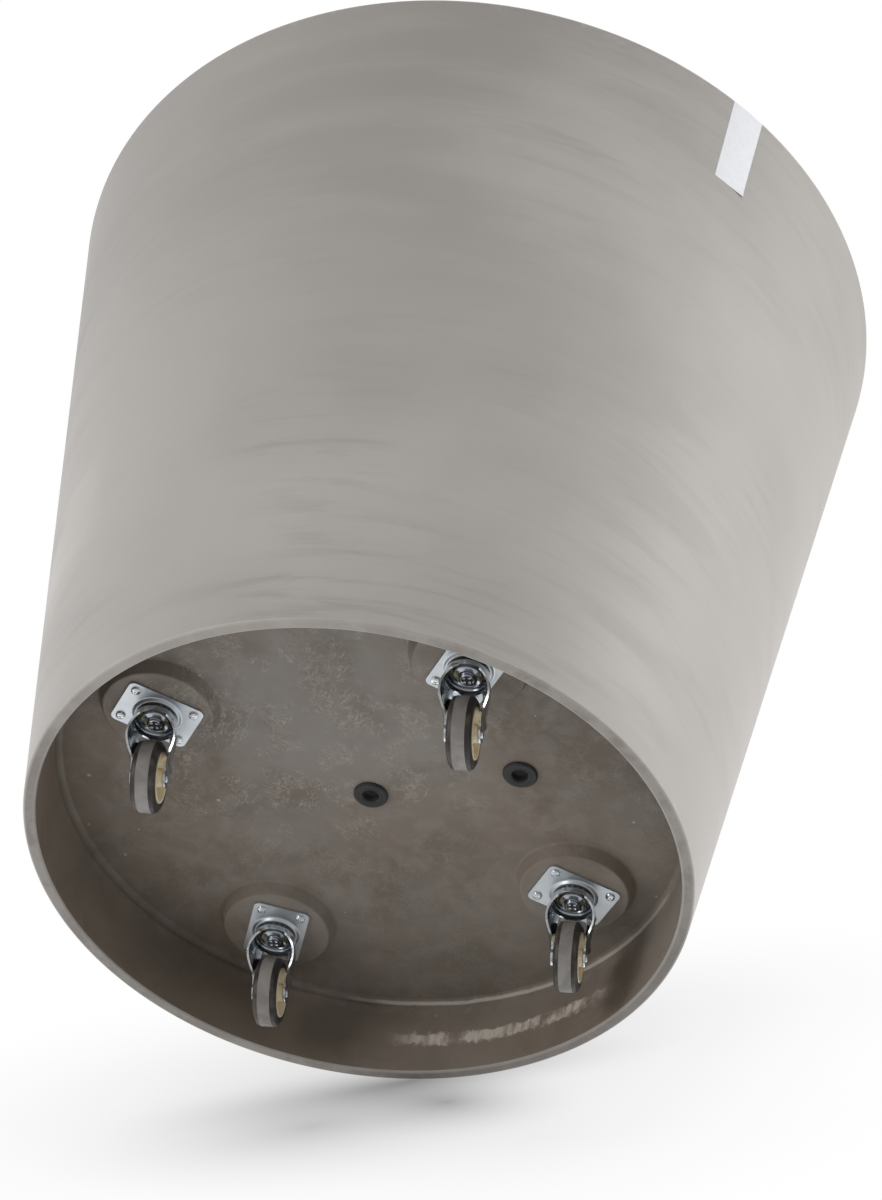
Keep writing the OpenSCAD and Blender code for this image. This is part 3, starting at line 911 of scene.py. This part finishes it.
class PLANTER_OT_pot_body(bpy.types.Operator):
    """Model the moulded pot with its skirt, caster bosses and drain holes"""

    bl_idname = "planter.pot_body"
    bl_label = "Pot body"

    def execute(self, context):
        pot = context.scene.planter_pot
        finish = context.scene.planter_finish
        gap = low_mm("pot_shell")
        top = high_mm("pot_shell")
        under = low_mm("drain_plug_centre") + PLUG_FLANGE
        above = under + pot.floor
        inner_foot = pot.foot_radius - pot.wall
        grow = widening(pot)
        shell = turned("pot_body", [
            (0, under), (inner_foot - 0.5, under, SKIRT_FILLET), (inner_foot, gap, pot.edge),
            (pot.foot_radius, gap, pot.edge), (pot.top_radius, top, pot.edge),
            (pot.top_radius - pot.wall, top, pot.edge),
            (inner_foot + grow * (above - gap), above, FLOOR_FILLET), (0, above),
        ], steps=256, bend=5, longest=45)
        combine(shell, boss_models(pot, under), "UNION")
        combine(shell, drain_drills(pot, under), "DIFFERENCE")
        mark_edges(shell, 0.25)
        dressed(
            shell, "pot", "pot_composite", ["pot_shell"],
            composite_outside(finish), composite_underside(finish),
            composite_rim(finish), composite_inside(),
        )
        for face in shell.data.polygons:
            spot = face.center / MM
            outer = pot.foot_radius + grow * (spot.z - gap)
            if spot.z < gap + RIM_FACE or spot.z > top - RIM_FACE:
                face.material_index = RIM
            elif math.hypot(spot.x, spot.y) > outer - OUTER_SKIN:
                face.material_index = OUTSIDE
            elif spot.z < under + FLOOR_SKIN:
                face.material_index = UNDERSIDE
            else:
                face.material_index = INSIDE
        even_normals(shell)
        return {"FINISHED"}


def boss_models(pot, under):
    """The caster bosses, each from the seat of its plate up into the floor."""
    seat = high_mm("mounting_plate_1")
    foot = pot.boss_radius + pot.boss_slope
    model = turned("boss", [
        (0, seat), (pot.boss_radius, seat, 2.5), (foot, under - 0.3, 4),
        (foot + 6, under - SEAT_GAP), (foot + 6, under + 4), (0, under + 4),
    ], steps=128)
    bosses = []
    for k in CASTERS:
        pin = middle(f"lower_race_cup_{k}")
        bosses.append(copied(model, f"boss_{k}", Matrix.Translation((pin.x, pin.y, 0))))
    bpy.data.objects.remove(model)
    return bosses


def drain_drills(pot, under):
    """The drills that cut the drain holes, which reach past both faces of the floor."""
    low, high = under - 5, under + pot.floor + 5
    drills = []
    for node in ("drain_plug_centre", "drain_plug_side"):
        section = [(0, low), (pot.drain_radius, low), (pot.drain_radius, high), (0, high)]
        drill = turned("drill", section, steps=64)
        place = middle(node)
        drills.append(placed(drill, Matrix.Translation((place.x, place.y, 0))))
    return drills


class PLANTER_OT_drain_plugs(bpy.types.Operator):
    """Model the two rubber drain plugs"""

    bl_idname = "planter.drain_plugs"
    bl_label = "Drain plugs"

    def execute(self, context):
        rubber = plug_rubber()
        low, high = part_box("drain_plug_centre")
        flange = (high.x - low.x) / 2 / MM
        tall = (high.z - low.z) / MM
        stem = 11.9
        model = turned("drain_plug", [
            (0, 9.4), (3.2, 9.4, 0.6), (4.0, 8.6, 0.6), (7.6, 8.6, 1.0), (8.6, 1.4, 1.2),
            (10.4, 0.2, 0.8), (12.2, 0.0, 0.5), (12.8, 0.5, 0.3), (13.4, 0.0, 0.4),
            (flange - 1.6, 0.25, 1.4), (flange, 2.2, 1.0), (flange, PLUG_FLANGE, 0.3),
            (stem, PLUG_FLANGE), (stem, tall - 2, 0.6), (stem - 2, tall, 0.6), (0, tall),
        ], bend=4)
        smooth(model)
        for name, body in (("drain_plug_centre", "plug_centre"), ("drain_plug_side", "plug_side")):
            low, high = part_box(name)
            place = Matrix.Translation(((low.x + high.x) / 2, (low.y + high.y) / 2, low.z))
            piece = copied(model, name.replace("drain", "rubber"), place)
            dressed(piece, body, "plug_rubber", [name], rubber)
        bpy.data.objects.remove(model)
        return {"FINISHED"}


# The label strip: its width, its length inside the wall, its thickness and its clearance
LABEL_WIDTH = 44
LABEL_INSIDE = 30
LABEL_SHEET = 0.3
LABEL_PROUD = 0.08

# The label's lifted corner: its height, the share of the width before it, and how far it stands out
CURL_HEIGHT = 16
CURL_FROM = 0.45
CURL_OUT = 3.2


class PLANTER_OT_label(bpy.types.Operator):
    """Model the bare label strip that is folded over the top rim"""

    bl_idname = "planter.label"
    bl_label = "Label strip"

    def execute(self, context):
        pot = context.scene.planter_pot
        low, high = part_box("label_strip")
        centre = (low + high) / 2
        top = high_mm("pot_shell")
        grow = widening(pot)
        low_edge = low.z / MM
        width = LABEL_WIDTH / pot.top_radius
        outside = pot.top_radius + LABEL_PROUD
        inside = pot.top_radius - pot.wall - LABEL_PROUD
        fold = pot.edge + LABEL_PROUD
        strip = trace("label_sheet", divided(rounded([
            (outside - grow * (top - low_edge), low_edge), (outside, top + LABEL_PROUD, fold),
            (inside, top + LABEL_PROUD, fold),
            (inside - grow * LABEL_INSIDE, top - LABEL_INSIDE),
        ], False, 8), 6))
        spin(12, width)
        leave_edit()
        first = strip.data.polygons[0]
        outwards = first.normal.dot(Vector((first.center.x, first.center.y, 0))) > 0
        angles = [math.atan2(v.co.y, v.co.x) for v in strip.data.vertices]
        first_angle, last_angle = min(angles), max(angles)
        for v, angle in zip(strip.data.vertices, angles):
            level = Vector((v.co.x, v.co.y, 0))
            on_outside = level.length > (pot.top_radius - pot.wall / 2 - 12) * MM
            if on_outside and v.co.z < (top - 20) * MM:
                below = max(0, 1 - (v.co.z / MM - low_edge) / CURL_HEIGHT)
                beyond = max(0, (angle - first_angle) / width - CURL_FROM)
                v.co += level.normalized() * (below * beyond) ** 1.5 * CURL_OUT * MM
        turn = math.atan2(centre.y, centre.x) - (first_angle + last_angle) / 2
        placed(strip, Matrix.Rotation(turn, 4, "Z"))
        modify(strip, "SOLIDIFY", thickness=LABEL_SHEET * MM, offset=1 if outwards else -1)
        edit(strip)
        face_outwards()
        smooth(strip)
        dressed(strip, "pot", "label_white", ["label_strip"], label_paper())
        return {"FINISHED"}


# The pressed ring of a plate: radius at its foot and at its crest, and depth
RING_FOOT = 26
RING_CREST = 23.5
RING_DEPTH = 3.5

# Radius of the holes that the kingpin goes through
PIN_HOLE = 4.1


def hole_places(size):
    """Places of a plate's four slots, in millimetres."""
    return [(x * size.hole_pitch_long / 2, y * size.hole_pitch_short / 2) for x in (-1, 1) for y in (-1, 1)]


class PLANTER_OT_mounting_plates(bpy.types.Operator):
    """Model the slotted mounting plates with their pressed rings"""

    bl_idname = "planter.mounting_plates"
    bl_label = "Mounting plates"

    def execute(self, context):
        size = context.scene.planter_caster
        sheet = size.plate_sheet
        extent = (size.plate_length, size.plate_width, sheet)
        plate = block("mounting_plate", extent, (0, 0, -sheet / 2), 7)
        hole = turned("hole", [(0, -5), (25, -5), (25, 5), (0, 5)], steps=128)
        slot = (9, 6.5, 4 * sheet)
        slots = [block("slot", slot, (x, y, -sheet / 2), 3.2) for x, y in hole_places(size)]
        combine(plate, [hole, *slots], "DIFFERENCE")
        crest = -RING_DEPTH - sheet
        dome = turned("pressed_ring", [
            (RING_FOOT + 3, -sheet - SEAT_GAP), (RING_FOOT, -sheet - SEAT_GAP, 2.0),
            (RING_CREST, crest, 1.5), (18.5, crest, 0.4), (17.8, crest + 0.9, 0.4),
            (13.5, crest + 0.9, 0.4), (12.8, crest, 0.4), (PIN_HOLE, crest),
            (PIN_HOLE, -RING_DEPTH), (RING_CREST - 2.5, -RING_DEPTH, 1.0),
            (RING_FOOT - 2.0, -0.05, 1.0), (RING_FOOT + 3, -0.05),
        ], closed=True, steps=128, bend=5)
        combine(plate, [dome], "UNION")
        soften(plate, 0.35, 2, 50, use_clamp_overlap=True, harden_normals=False)
        even_normals(plate)
        zinc = zinc_plating("zinc_plate", context.scene.planter_finish, (0.78, 0.78, 0.77), 0.2)
        for k in CASTERS:
            piece = copied(plate, f"plate_{k}", plate_place(k))
            dressed(piece, "pot", "zinc_plate", [f"mounting_plate_{k}"], zinc)
        bpy.data.objects.remove(plate)
        return {"FINISHED"}


# How far each screw's cross is turned, used in rotation
SCREW_TURNS = (0.1, 0.9, 1.3, 0.5, 0.75)


class PLANTER_OT_plate_screws(bpy.types.Operator):
    """Model the pan head screws with their cross recesses"""

    bl_idname = "planter.plate_screws"
    bl_label = "Plate screws"

    def execute(self, context):
        size = context.scene.planter_caster
        seat = -size.plate_sheet
        head = turned("screw", [
            (0, seat - 3.0), (2.6, seat - 2.85, 2), (4.9, seat - 1.9, 1.2),
            (5.25, seat - SEAT_GAP, 0.2), (2.5, seat - SEAT_GAP), (2.5, 17, 0.3), (1.2, 19.5),
            (0, 19.5),
        ], steps=48, bend=4)
        cross = []
        for degrees in (20, 110):
            arm = block("arm", (5.4, 1.15, 2.4), (0, 0, seat - 2.6))
            edit(arm)
            pick(arm, "faces", lambda f: f.normal.z > 0.9)
            bpy.ops.transform.resize(value=(0.45, 0.75, 1), center_override=(0, 0, seat * MM))
            leave_edit()
            cross.append(placed(arm, Matrix.Rotation(math.radians(degrees), 4, "Z")))
        combine(head, cross, "DIFFERENCE")
        soften(head, 0.12, 2, 50)
        even_normals(head)
        steel = zinc_plating("screw_steel", context.scene.planter_finish, (1.02, 1.0, 0.97))
        for k in CASTERS:
            row = []
            for i, (x, y) in enumerate(hole_places(size)):
                place = plate_place(k) @ Matrix.Translation(Vector((x, y, 0)) * MM)
                turn = Matrix.Rotation(SCREW_TURNS[(k + i * 3) % len(SCREW_TURNS)], 4, "Z")
                row.append(copied(head, "screw_copy", place @ turn))
            piece = joined(row, f"screws_{k}")
            dressed(piece, "pot", "screw_steel", [f"plate_screws_{k}"], steel)
        bpy.data.objects.remove(head)
        return {"FINISHED"}


# The fork, in millimetres below the boss: its crown's top, its crown's rim and its axle
CROWN_DEPTH = 8.85
RIM_DEPTH = 17.05
AXLE_DEPTH = 60

# A leg: half its width at the crown, how far it swells out and the least it stands out
LEG_HALF = 16.5
LEG_FLARE = 3.8
LEG_LEAST_HALF = 16.2

# Shares of a leg's drop: where it is flat, where its curve ends, and how far its front edge is swept
LEG_FLAT_FROM = 0.849
LEG_CURVED_TO = 0.7
LEG_SWEEP = 0.3

# Depth and width of the flare where a leg leaves the crown's rim
ROOT_DEPTH = 3.8
ROOT_FLARE = 1.1


class PLANTER_OT_forks(bpy.types.Operator):
    """Model the pressed forks, drawn from the round crown to the flat axle eyes"""

    bl_idname = "planter.forks"
    bl_label = "Forks"

    def execute(self, context):
        size = context.scene.planter_caster
        crown = size.crown_radius
        fork = trace("fork", rounded([
            (7, -CROWN_DEPTH), (17.2, -CROWN_DEPTH, 0.5), (18.0, -CROWN_DEPTH + 0.8, 0.5),
            (21.0, -CROWN_DEPTH + 0.7, 0.9), (crown, -CROWN_DEPTH - 2.2, 2.2),
            (crown, -RIM_DEPTH),
        ], False, 5))
        spin(96)
        rim = -RIM_DEPTH * MM
        reach = crown * math.cos(math.radians(40)) * MM

        def on_leg(edge):
            ends = [v.co for v in edge.verts]
            return all(abs(c.z - rim) < TOUCHING and abs(c.x) < reach for c in ends)

        pick(fork, "edges", on_leg)
        for depth, front, rear in leg_rows(size):
            bpy.ops.mesh.extrude_edges_move(TRANSFORM_OT_translate={"value": (0, 0, -MM)})
            mesh = bmesh.from_edit_mesh(fork.data)
            for side in (-1, 1):
                row = [v for v in mesh.verts if v.select and v.co.y * side > 0]
                row.sort(key=lambda v: v.co.x)
                for i, v in enumerate(row):
                    x = front + (rear - front) * i / (len(row) - 1)
                    v.co = Vector((x, side * leg_y(size, x, depth), -depth)) * MM
            bmesh.update_edit_mesh(fork.data)
        face_outwards()
        top = max(fork.data.polygons, key=lambda f: f.center.z)
        modify(fork, "SOLIDIFY", thickness=size.fork_sheet * MM, offset=-1 if top.normal.z > 0 else 1,
               use_even_offset=True)
        soften(fork, 0.5, 3, 55)
        edit(fork)
        face_outwards()
        even_normals(fork, 45)
        mark_edges(fork, 0.35)
        zinc = zinc_plating("zinc_fork", context.scene.planter_finish, (0.68,) * 3)
        for k in CASTERS:
            piece = copied(fork, f"pressed_fork_{k}", caster_place(k))
            dressed(piece, f"swivel_{k}", "zinc_fork", [f"fork_{k}"], zinc)
        bpy.data.objects.remove(fork)
        return {"FINISHED"}


def leg_rows(size):
    """Rows of a leg as (depth, front, rear), from the crown's rim to the end of the eye."""
    drop = AXLE_DEPTH - RIM_DEPTH
    rows = []
    for down in (0.5, 1.3, 2.4, ROOT_DEPTH):
        s = down / drop
        flare = ROOT_FLARE * (1 - down / ROOT_DEPTH) ** 2
        rows.append((RIM_DEPTH + down, leg_front(size, s) - flare, leg_rear(size, s) + flare))
    for i in range(1, 17):
        s = ROOT_DEPTH / drop + (1 - ROOT_DEPTH / drop) * i / 16
        rows.append((RIM_DEPTH + s * drop, leg_front(size, s), leg_rear(size, s)))
    for degrees in (12, 24, 36, 48, 58, 68, 76, 84):
        a = math.radians(degrees)
        half = size.eye_radius * math.cos(a)
        rows.append((AXLE_DEPTH + size.eye_radius * math.sin(a), size.trail - half, size.trail + half))
    return rows


def leg_front(size, s):
    t = s + (s ** 4 - s) * LEG_SWEEP
    return -LEG_HALF + (size.trail - size.eye_radius + LEG_HALF) * t


def leg_rear(size, s):
    return LEG_HALF + (size.trail + size.eye_radius - LEG_HALF) * s


def leg_y(size, x, depth):
    """How far out a leg stands: part of the crown's cylinder at the top, flat at the eye."""
    s = (depth - RIM_DEPTH) / (AXLE_DEPTH - RIM_DEPTH)
    t = min(1, s / LEG_FLAT_FROM)
    swell = LEG_FLARE * math.sin(math.pi * t)
    half = size.crown_radius + swell - (size.crown_radius - size.eye_half_width) * t ** 3
    curved = 1 - min(1, s / LEG_CURVED_TO)
    return max(half - curved * (half - math.sqrt(max(0, half * half - x * x))), LEG_LEAST_HALF)


class PLANTER_OT_swivel_heads(bpy.types.Operator):
    """Model the lower race cups and the riveted kingpins, and finish the balls"""

    bl_idname = "planter.swivel_heads"
    bl_label = "Swivel heads"

    def execute(self, context):
        finish = context.scene.planter_finish
        boss = high_mm("mounting_plate_1")
        cup_top = high_mm("lower_race_cup_1") - boss
        cup_low = low_mm("lower_race_cup_1") - boss
        cup = turned("race_cup", [
            (PIN_HOLE, cup_low), (10.5, cup_low, 2.0), (15.0, cup_low + 1.3, 2.4),
            (16.0, cup_top, 0.3), (14.2, cup_top, 0.3), (14.0, cup_low + 2.6, 1.0),
            (10.0, cup_low + 2.0, 1.0), (PIN_HOLE, cup_low + 2.0),
        ], closed=True)
        smooth(cup)
        pin_low = low_mm("kingpin_1") - boss
        shank = 4.0
        pin = turned("king_rivet", [
            (0, pin_low + 0.55), (2.2, pin_low + 0.55, 1.0), (5.6, pin_low, 1.6),
            (7.5, pin_low + 0.7, 1.0), (8.0, cup_low - SEAT_GAP, 0.4), (shank, cup_low - SEAT_GAP),
            (shank, -RING_DEPTH), (9.0, -RING_DEPTH), (9.0, -0.7, 0.8), (0, -0.7),
        ])
        stakes = []
        for degrees in (45, 135, 225, 315):
            bpy.ops.object.select_all(action="DESELECT")
            bpy.ops.mesh.primitive_uv_sphere_add(segments=32, ring_count=20, radius=1.75 * MM)
            a = math.radians(degrees)
            place = Vector((3.9 * math.cos(a), 3.9 * math.sin(a), pin_low)) * MM
            stakes.append(placed(bpy.context.object, Matrix.Translation(place)))
        combine(pin, stakes, "DIFFERENCE")
        soften(pin, 0.15, 2, 40)
        even_normals(pin)
        steel = zinc_plating("race_steel", finish, (0.72, 0.73, 0.75))
        pin_steel = zinc_plating("king_steel", finish, (0.86, 0.86, 0.87))
        ball = zinc_plating("ball_steel", finish, (0.8, 0.8, 0.82))
        for k in CASTERS:
            place = caster_place(k)
            dressed(copied(cup, f"race_cup_{k}", place), "pot", "race_steel", [f"lower_race_cup_{k}"], steel)
            dressed(copied(pin, f"king_rivet_{k}", place), "pot", "king_steel", [f"kingpin_{k}"], pin_steel)
            kept(f"upper_balls_{k}", ball)
            kept(f"lower_balls_{k}", ball)
        bpy.data.objects.remove(cup)
        bpy.data.objects.remove(pin)
        return {"FINISHED"}


class PLANTER_OT_axles(bpy.types.Operator):
    """Model the axle bolts with their low round nuts, and finish the sleeves"""

    bl_idname = "planter.axles"
    bl_label = "Axles"

    def execute(self, context):
        half = context.scene.planter_caster.eye_half_width
        head, nut = -half - SEAT_GAP, half + SEAT_GAP
        bolt = turned("axle", [
            (0, -half - 1.5), (1.6, -half - 1.6, 1.0), (2.6, -half - 2.0, 0.8),
            (4.6, -half - 1.9, 1.2), (5.4, -half - 0.5, 0.6), (5.4, head, 0.1), (4.0, head),
            (4.0, nut), (5.4, nut, 0.1), (5.2, half + 0.9, 0.5), (3.6, half + 1.4, 1.0),
            (0, half + 1.4),
        ], steps=64, bend=4)
        smooth(bolt)
        steel = zinc_plating("bolt_steel", context.scene.planter_finish, (0.8, 0.8, 0.82))
        sleeve = zinc_plating("sleeve_steel", context.scene.planter_finish, (0.75, 0.75, 0.77), 0.1)
        for k in CASTERS:
            piece = copied(bolt, f"axle_{k}", axle_place(k))
            dressed(piece, f"swivel_{k}", "bolt_steel", [f"axle_bolt_{k}", f"axle_nut_{k}"], steel)
            kept(f"axle_sleeve_{k}", sleeve)
        bpy.data.objects.remove(bolt)
        return {"FINISHED"}


def mirrored(half):
    """A section's upper half with its mirror image below."""
    return [(p[0], -p[1], *p[2:]) for p in reversed(half)] + half


class PLANTER_OT_wheels(bpy.types.Operator):
    """Model the nylon hubs and the rubber tyres"""

    bl_idname = "planter.wheels"
    bl_label = "Wheels"

    def execute(self, context):
        size = context.scene.planter_wheel
        finish = context.scene.planter_finish
        rim_half = size.hub_width / 2
        hub = turned("hub", mirrored([
            (6.05, 15.9), (9.6, 15.9, 0.8), (10.2, 5.4, 2.6), (22.6, 4.0, 3.4),
            (24.2, rim_half - 0.3, 0.7), (size.hub_radius, rim_half, 0.4),
        ]), closed=True, steps=128, bend=5)
        smooth(hub)
        side_half = size.tyre / 2
        band_half = size.band / 2 + 0.3
        tyre = turned("tyre", mirrored([
            (size.hub_radius, 11.6), (size.hub_radius + 0.9, side_half - 0.6, 0.5),
            (size.hub_radius + 2.2, side_half, 0.8), (size.radius - 5.4, side_half, 2.4),
            (size.radius - 1.3, 10.6, 1.2), (size.radius - 0.15, band_half, 0.5),
        ]), closed=True, steps=160, bend=5, longest=3.2)
        smooth(tyre)
        on_band = [
            abs(f.center.z) < band_half * MM
            and math.hypot(f.center.x, f.center.y) > (size.radius - 2) * MM
            for f in tyre.data.polygons
        ]
        side = tyre_rubber(finish)
        band = running_band(finish)
        nylon = hub_nylon(finish)
        for k in CASTERS:
            place = axle_place(k)
            dressed(copied(hub, f"hub_{k}", place), f"wheel_{k}", "hub_nylon", [f"wheel_hub_{k}"], nylon)
            piece = copied(tyre, f"tread_{k}", place)
            dressed(piece, f"wheel_{k}", "tyre_rubber", [f"tyre_{k}"], side, band)
            for face, banded in zip(piece.data.polygons, on_band):
                face.material_index = int(banded)
        bpy.data.objects.remove(hub)
        bpy.data.objects.remove(tyre)
        return {"FINISHED"}


# How far the stage's floor and the camera's view reach, in metres
FLOOR_RADIUS = 30
VIEW_REACH = 100

# The point that the lights face, and each light's size and place from there: right, above and towards
LIT_POINT = (0, 0, 0.35)
LIGHTS = {
    "Key": (1.3, (-2.6, 1.15, 2.3)),
    "Side": (2.0, (3.2, 1.2, -0.2)),
}


class PLANTER_OT_stage(bpy.types.Operator):
    """Set the floor, the surround, the lights and the camera"""

    bl_idname = "planter.stage"
    bl_label = "Stage"

    def execute(self, context):
        scene = context.scene
        stage = scene.planter_stage
        camera_data = bpy.data.cameras.new("Camera")
        camera_data.sensor_width = 36
        camera_data.lens = stage.lens
        camera_data.clip_end = VIEW_REACH
        camera = bpy.data.objects.new("Camera", camera_data)
        camera.location = stage.camera_place
        camera.rotation_euler = stage.camera_turn
        scene.collection.objects.link(camera)
        scene.camera = camera
        turn = camera.rotation_euler.to_matrix()
        lay_floor(scene.planter_pot, Vector(stage.up).normalized(), turn.col[0])
        set_lights({"Key": stage.key, "Side": stage.side}, turn)
        set_surround(stage.surround, turn.col[2])
        scene.view_settings.view_transform = "Standard"
        return {"FINISHED"}


def lay_floor(pot, up, right):
    """Lays the floor against the rounded edge of the skirt that the planter leans on."""
    edge = pot.edge * MM
    lowest = Vector((-up.x, -up.y, 0)).normalized() * (pot.foot_radius - pot.edge) * MM
    lowest.z = low_mm("pot_shell") * MM + edge
    lowest -= up * edge
    bpy.ops.object.select_all(action="DESELECT")
    bpy.ops.mesh.primitive_circle_add(vertices=96, radius=FLOOR_RADIUS, fill_type="NGON")
    floor = named(bpy.context.object, "studio_floor")
    across = (right - up * right.dot(up)).normalized()
    turn = Matrix((across, up.cross(across), up)).transposed().to_4x4()
    floor.matrix_world = Matrix.Translation(lowest) @ turn
    floor.data.materials.append(studio_floor())


def set_lights(powers, turn):
    """Sets the square soft lights, from the camera's right, above and towards it."""
    centre = Vector(LIT_POINT)
    for name, (size, offset) in LIGHTS.items():
        data = bpy.data.lights.new(name, "AREA")
        data.energy = powers[name]
        data.size = size
        light = bpy.data.objects.new(name, data)
        light.location = centre + turn @ Vector(offset)
        light.rotation_euler = (light.location - centre).to_track_quat("Z", "Y").to_euler()
        bpy.context.scene.collection.objects.link(light)


def set_surround(strength, towards):
    """Sets a surround that the camera sees as white, and that is dimmer on the camera's side."""
    world = bpy.data.worlds.new("Surround")
    world.use_nodes = True
    bpy.context.scene.world = world
    world.node_tree.nodes.clear()
    graph = Graph(world.node_tree)
    direction = graph.add("TexCoord").outputs["Generated"]
    facing = graph.vector("DOT_PRODUCT", direction, towards, "Value")
    dim = graph.between(facing, -0.3, 0.9, strength * 1.3, strength * 0.4)
    lit = graph.add("Background", {"Color": (0.97, 0.985, 1, 1), "Strength": dim}).outputs[0]
    white = graph.add("Background", {"Color": (1, 1, 1, 1), "Strength": 1.0}).outputs[0]
    seen = graph.add("LightPath").outputs["Is Camera Ray"]
    chosen = graph.add("MixShader", {0: seen, 1: lit, 2: white}).outputs[0]
    graph.add("OutputWorld", {"Surface": chosen})


class PLANTER_PT_sidebar(bpy.types.Panel):
    """Lists the planter's pieces and settings"""

    bl_label = "Rolling planter"
    bl_idname = "PLANTER_PT_sidebar"
    bl_space_type = "VIEW_3D"
    bl_region_type = "UI"
    bl_category = "Planter"

    def draw(self, context):
        for operator in PIECES:
            self.layout.operator(operator.bl_idname)
        for name, group in SETTINGS.items():
            box = self.layout.box()
            for key in group.__annotations__:
                box.prop(getattr(context.scene, name), key)


PIECES = (
    PLANTER_OT_pot_body,
    PLANTER_OT_label,
    PLANTER_OT_drain_plugs,
    PLANTER_OT_mounting_plates,
    PLANTER_OT_plate_screws,
    PLANTER_OT_forks,
    PLANTER_OT_swivel_heads,
    PLANTER_OT_axles,
    PLANTER_OT_wheels,
    PLANTER_OT_stage,
)


def register():
    for cls in (*SETTINGS.values(), *PIECES, PLANTER_PT_sidebar):
        bpy.utils.register_class(cls)
    for name, group in SETTINGS.items():
        setattr(bpy.types.Scene, name, bpy.props.PointerProperty(type=group))


def unregister():
    for name in SETTINGS:
        delattr(bpy.types.Scene, name)
    for cls in reversed((*SETTINGS.values(), *PIECES, PLANTER_PT_sidebar)):
        bpy.utils.unregister_class(cls)


def main():
    register()
    build_effects()
    for operator in PIECES:
        group, name = operator.bl_idname.split(".")
        getattr(getattr(bpy.ops, group), name)()


if __name__ == "__main__":
    main()
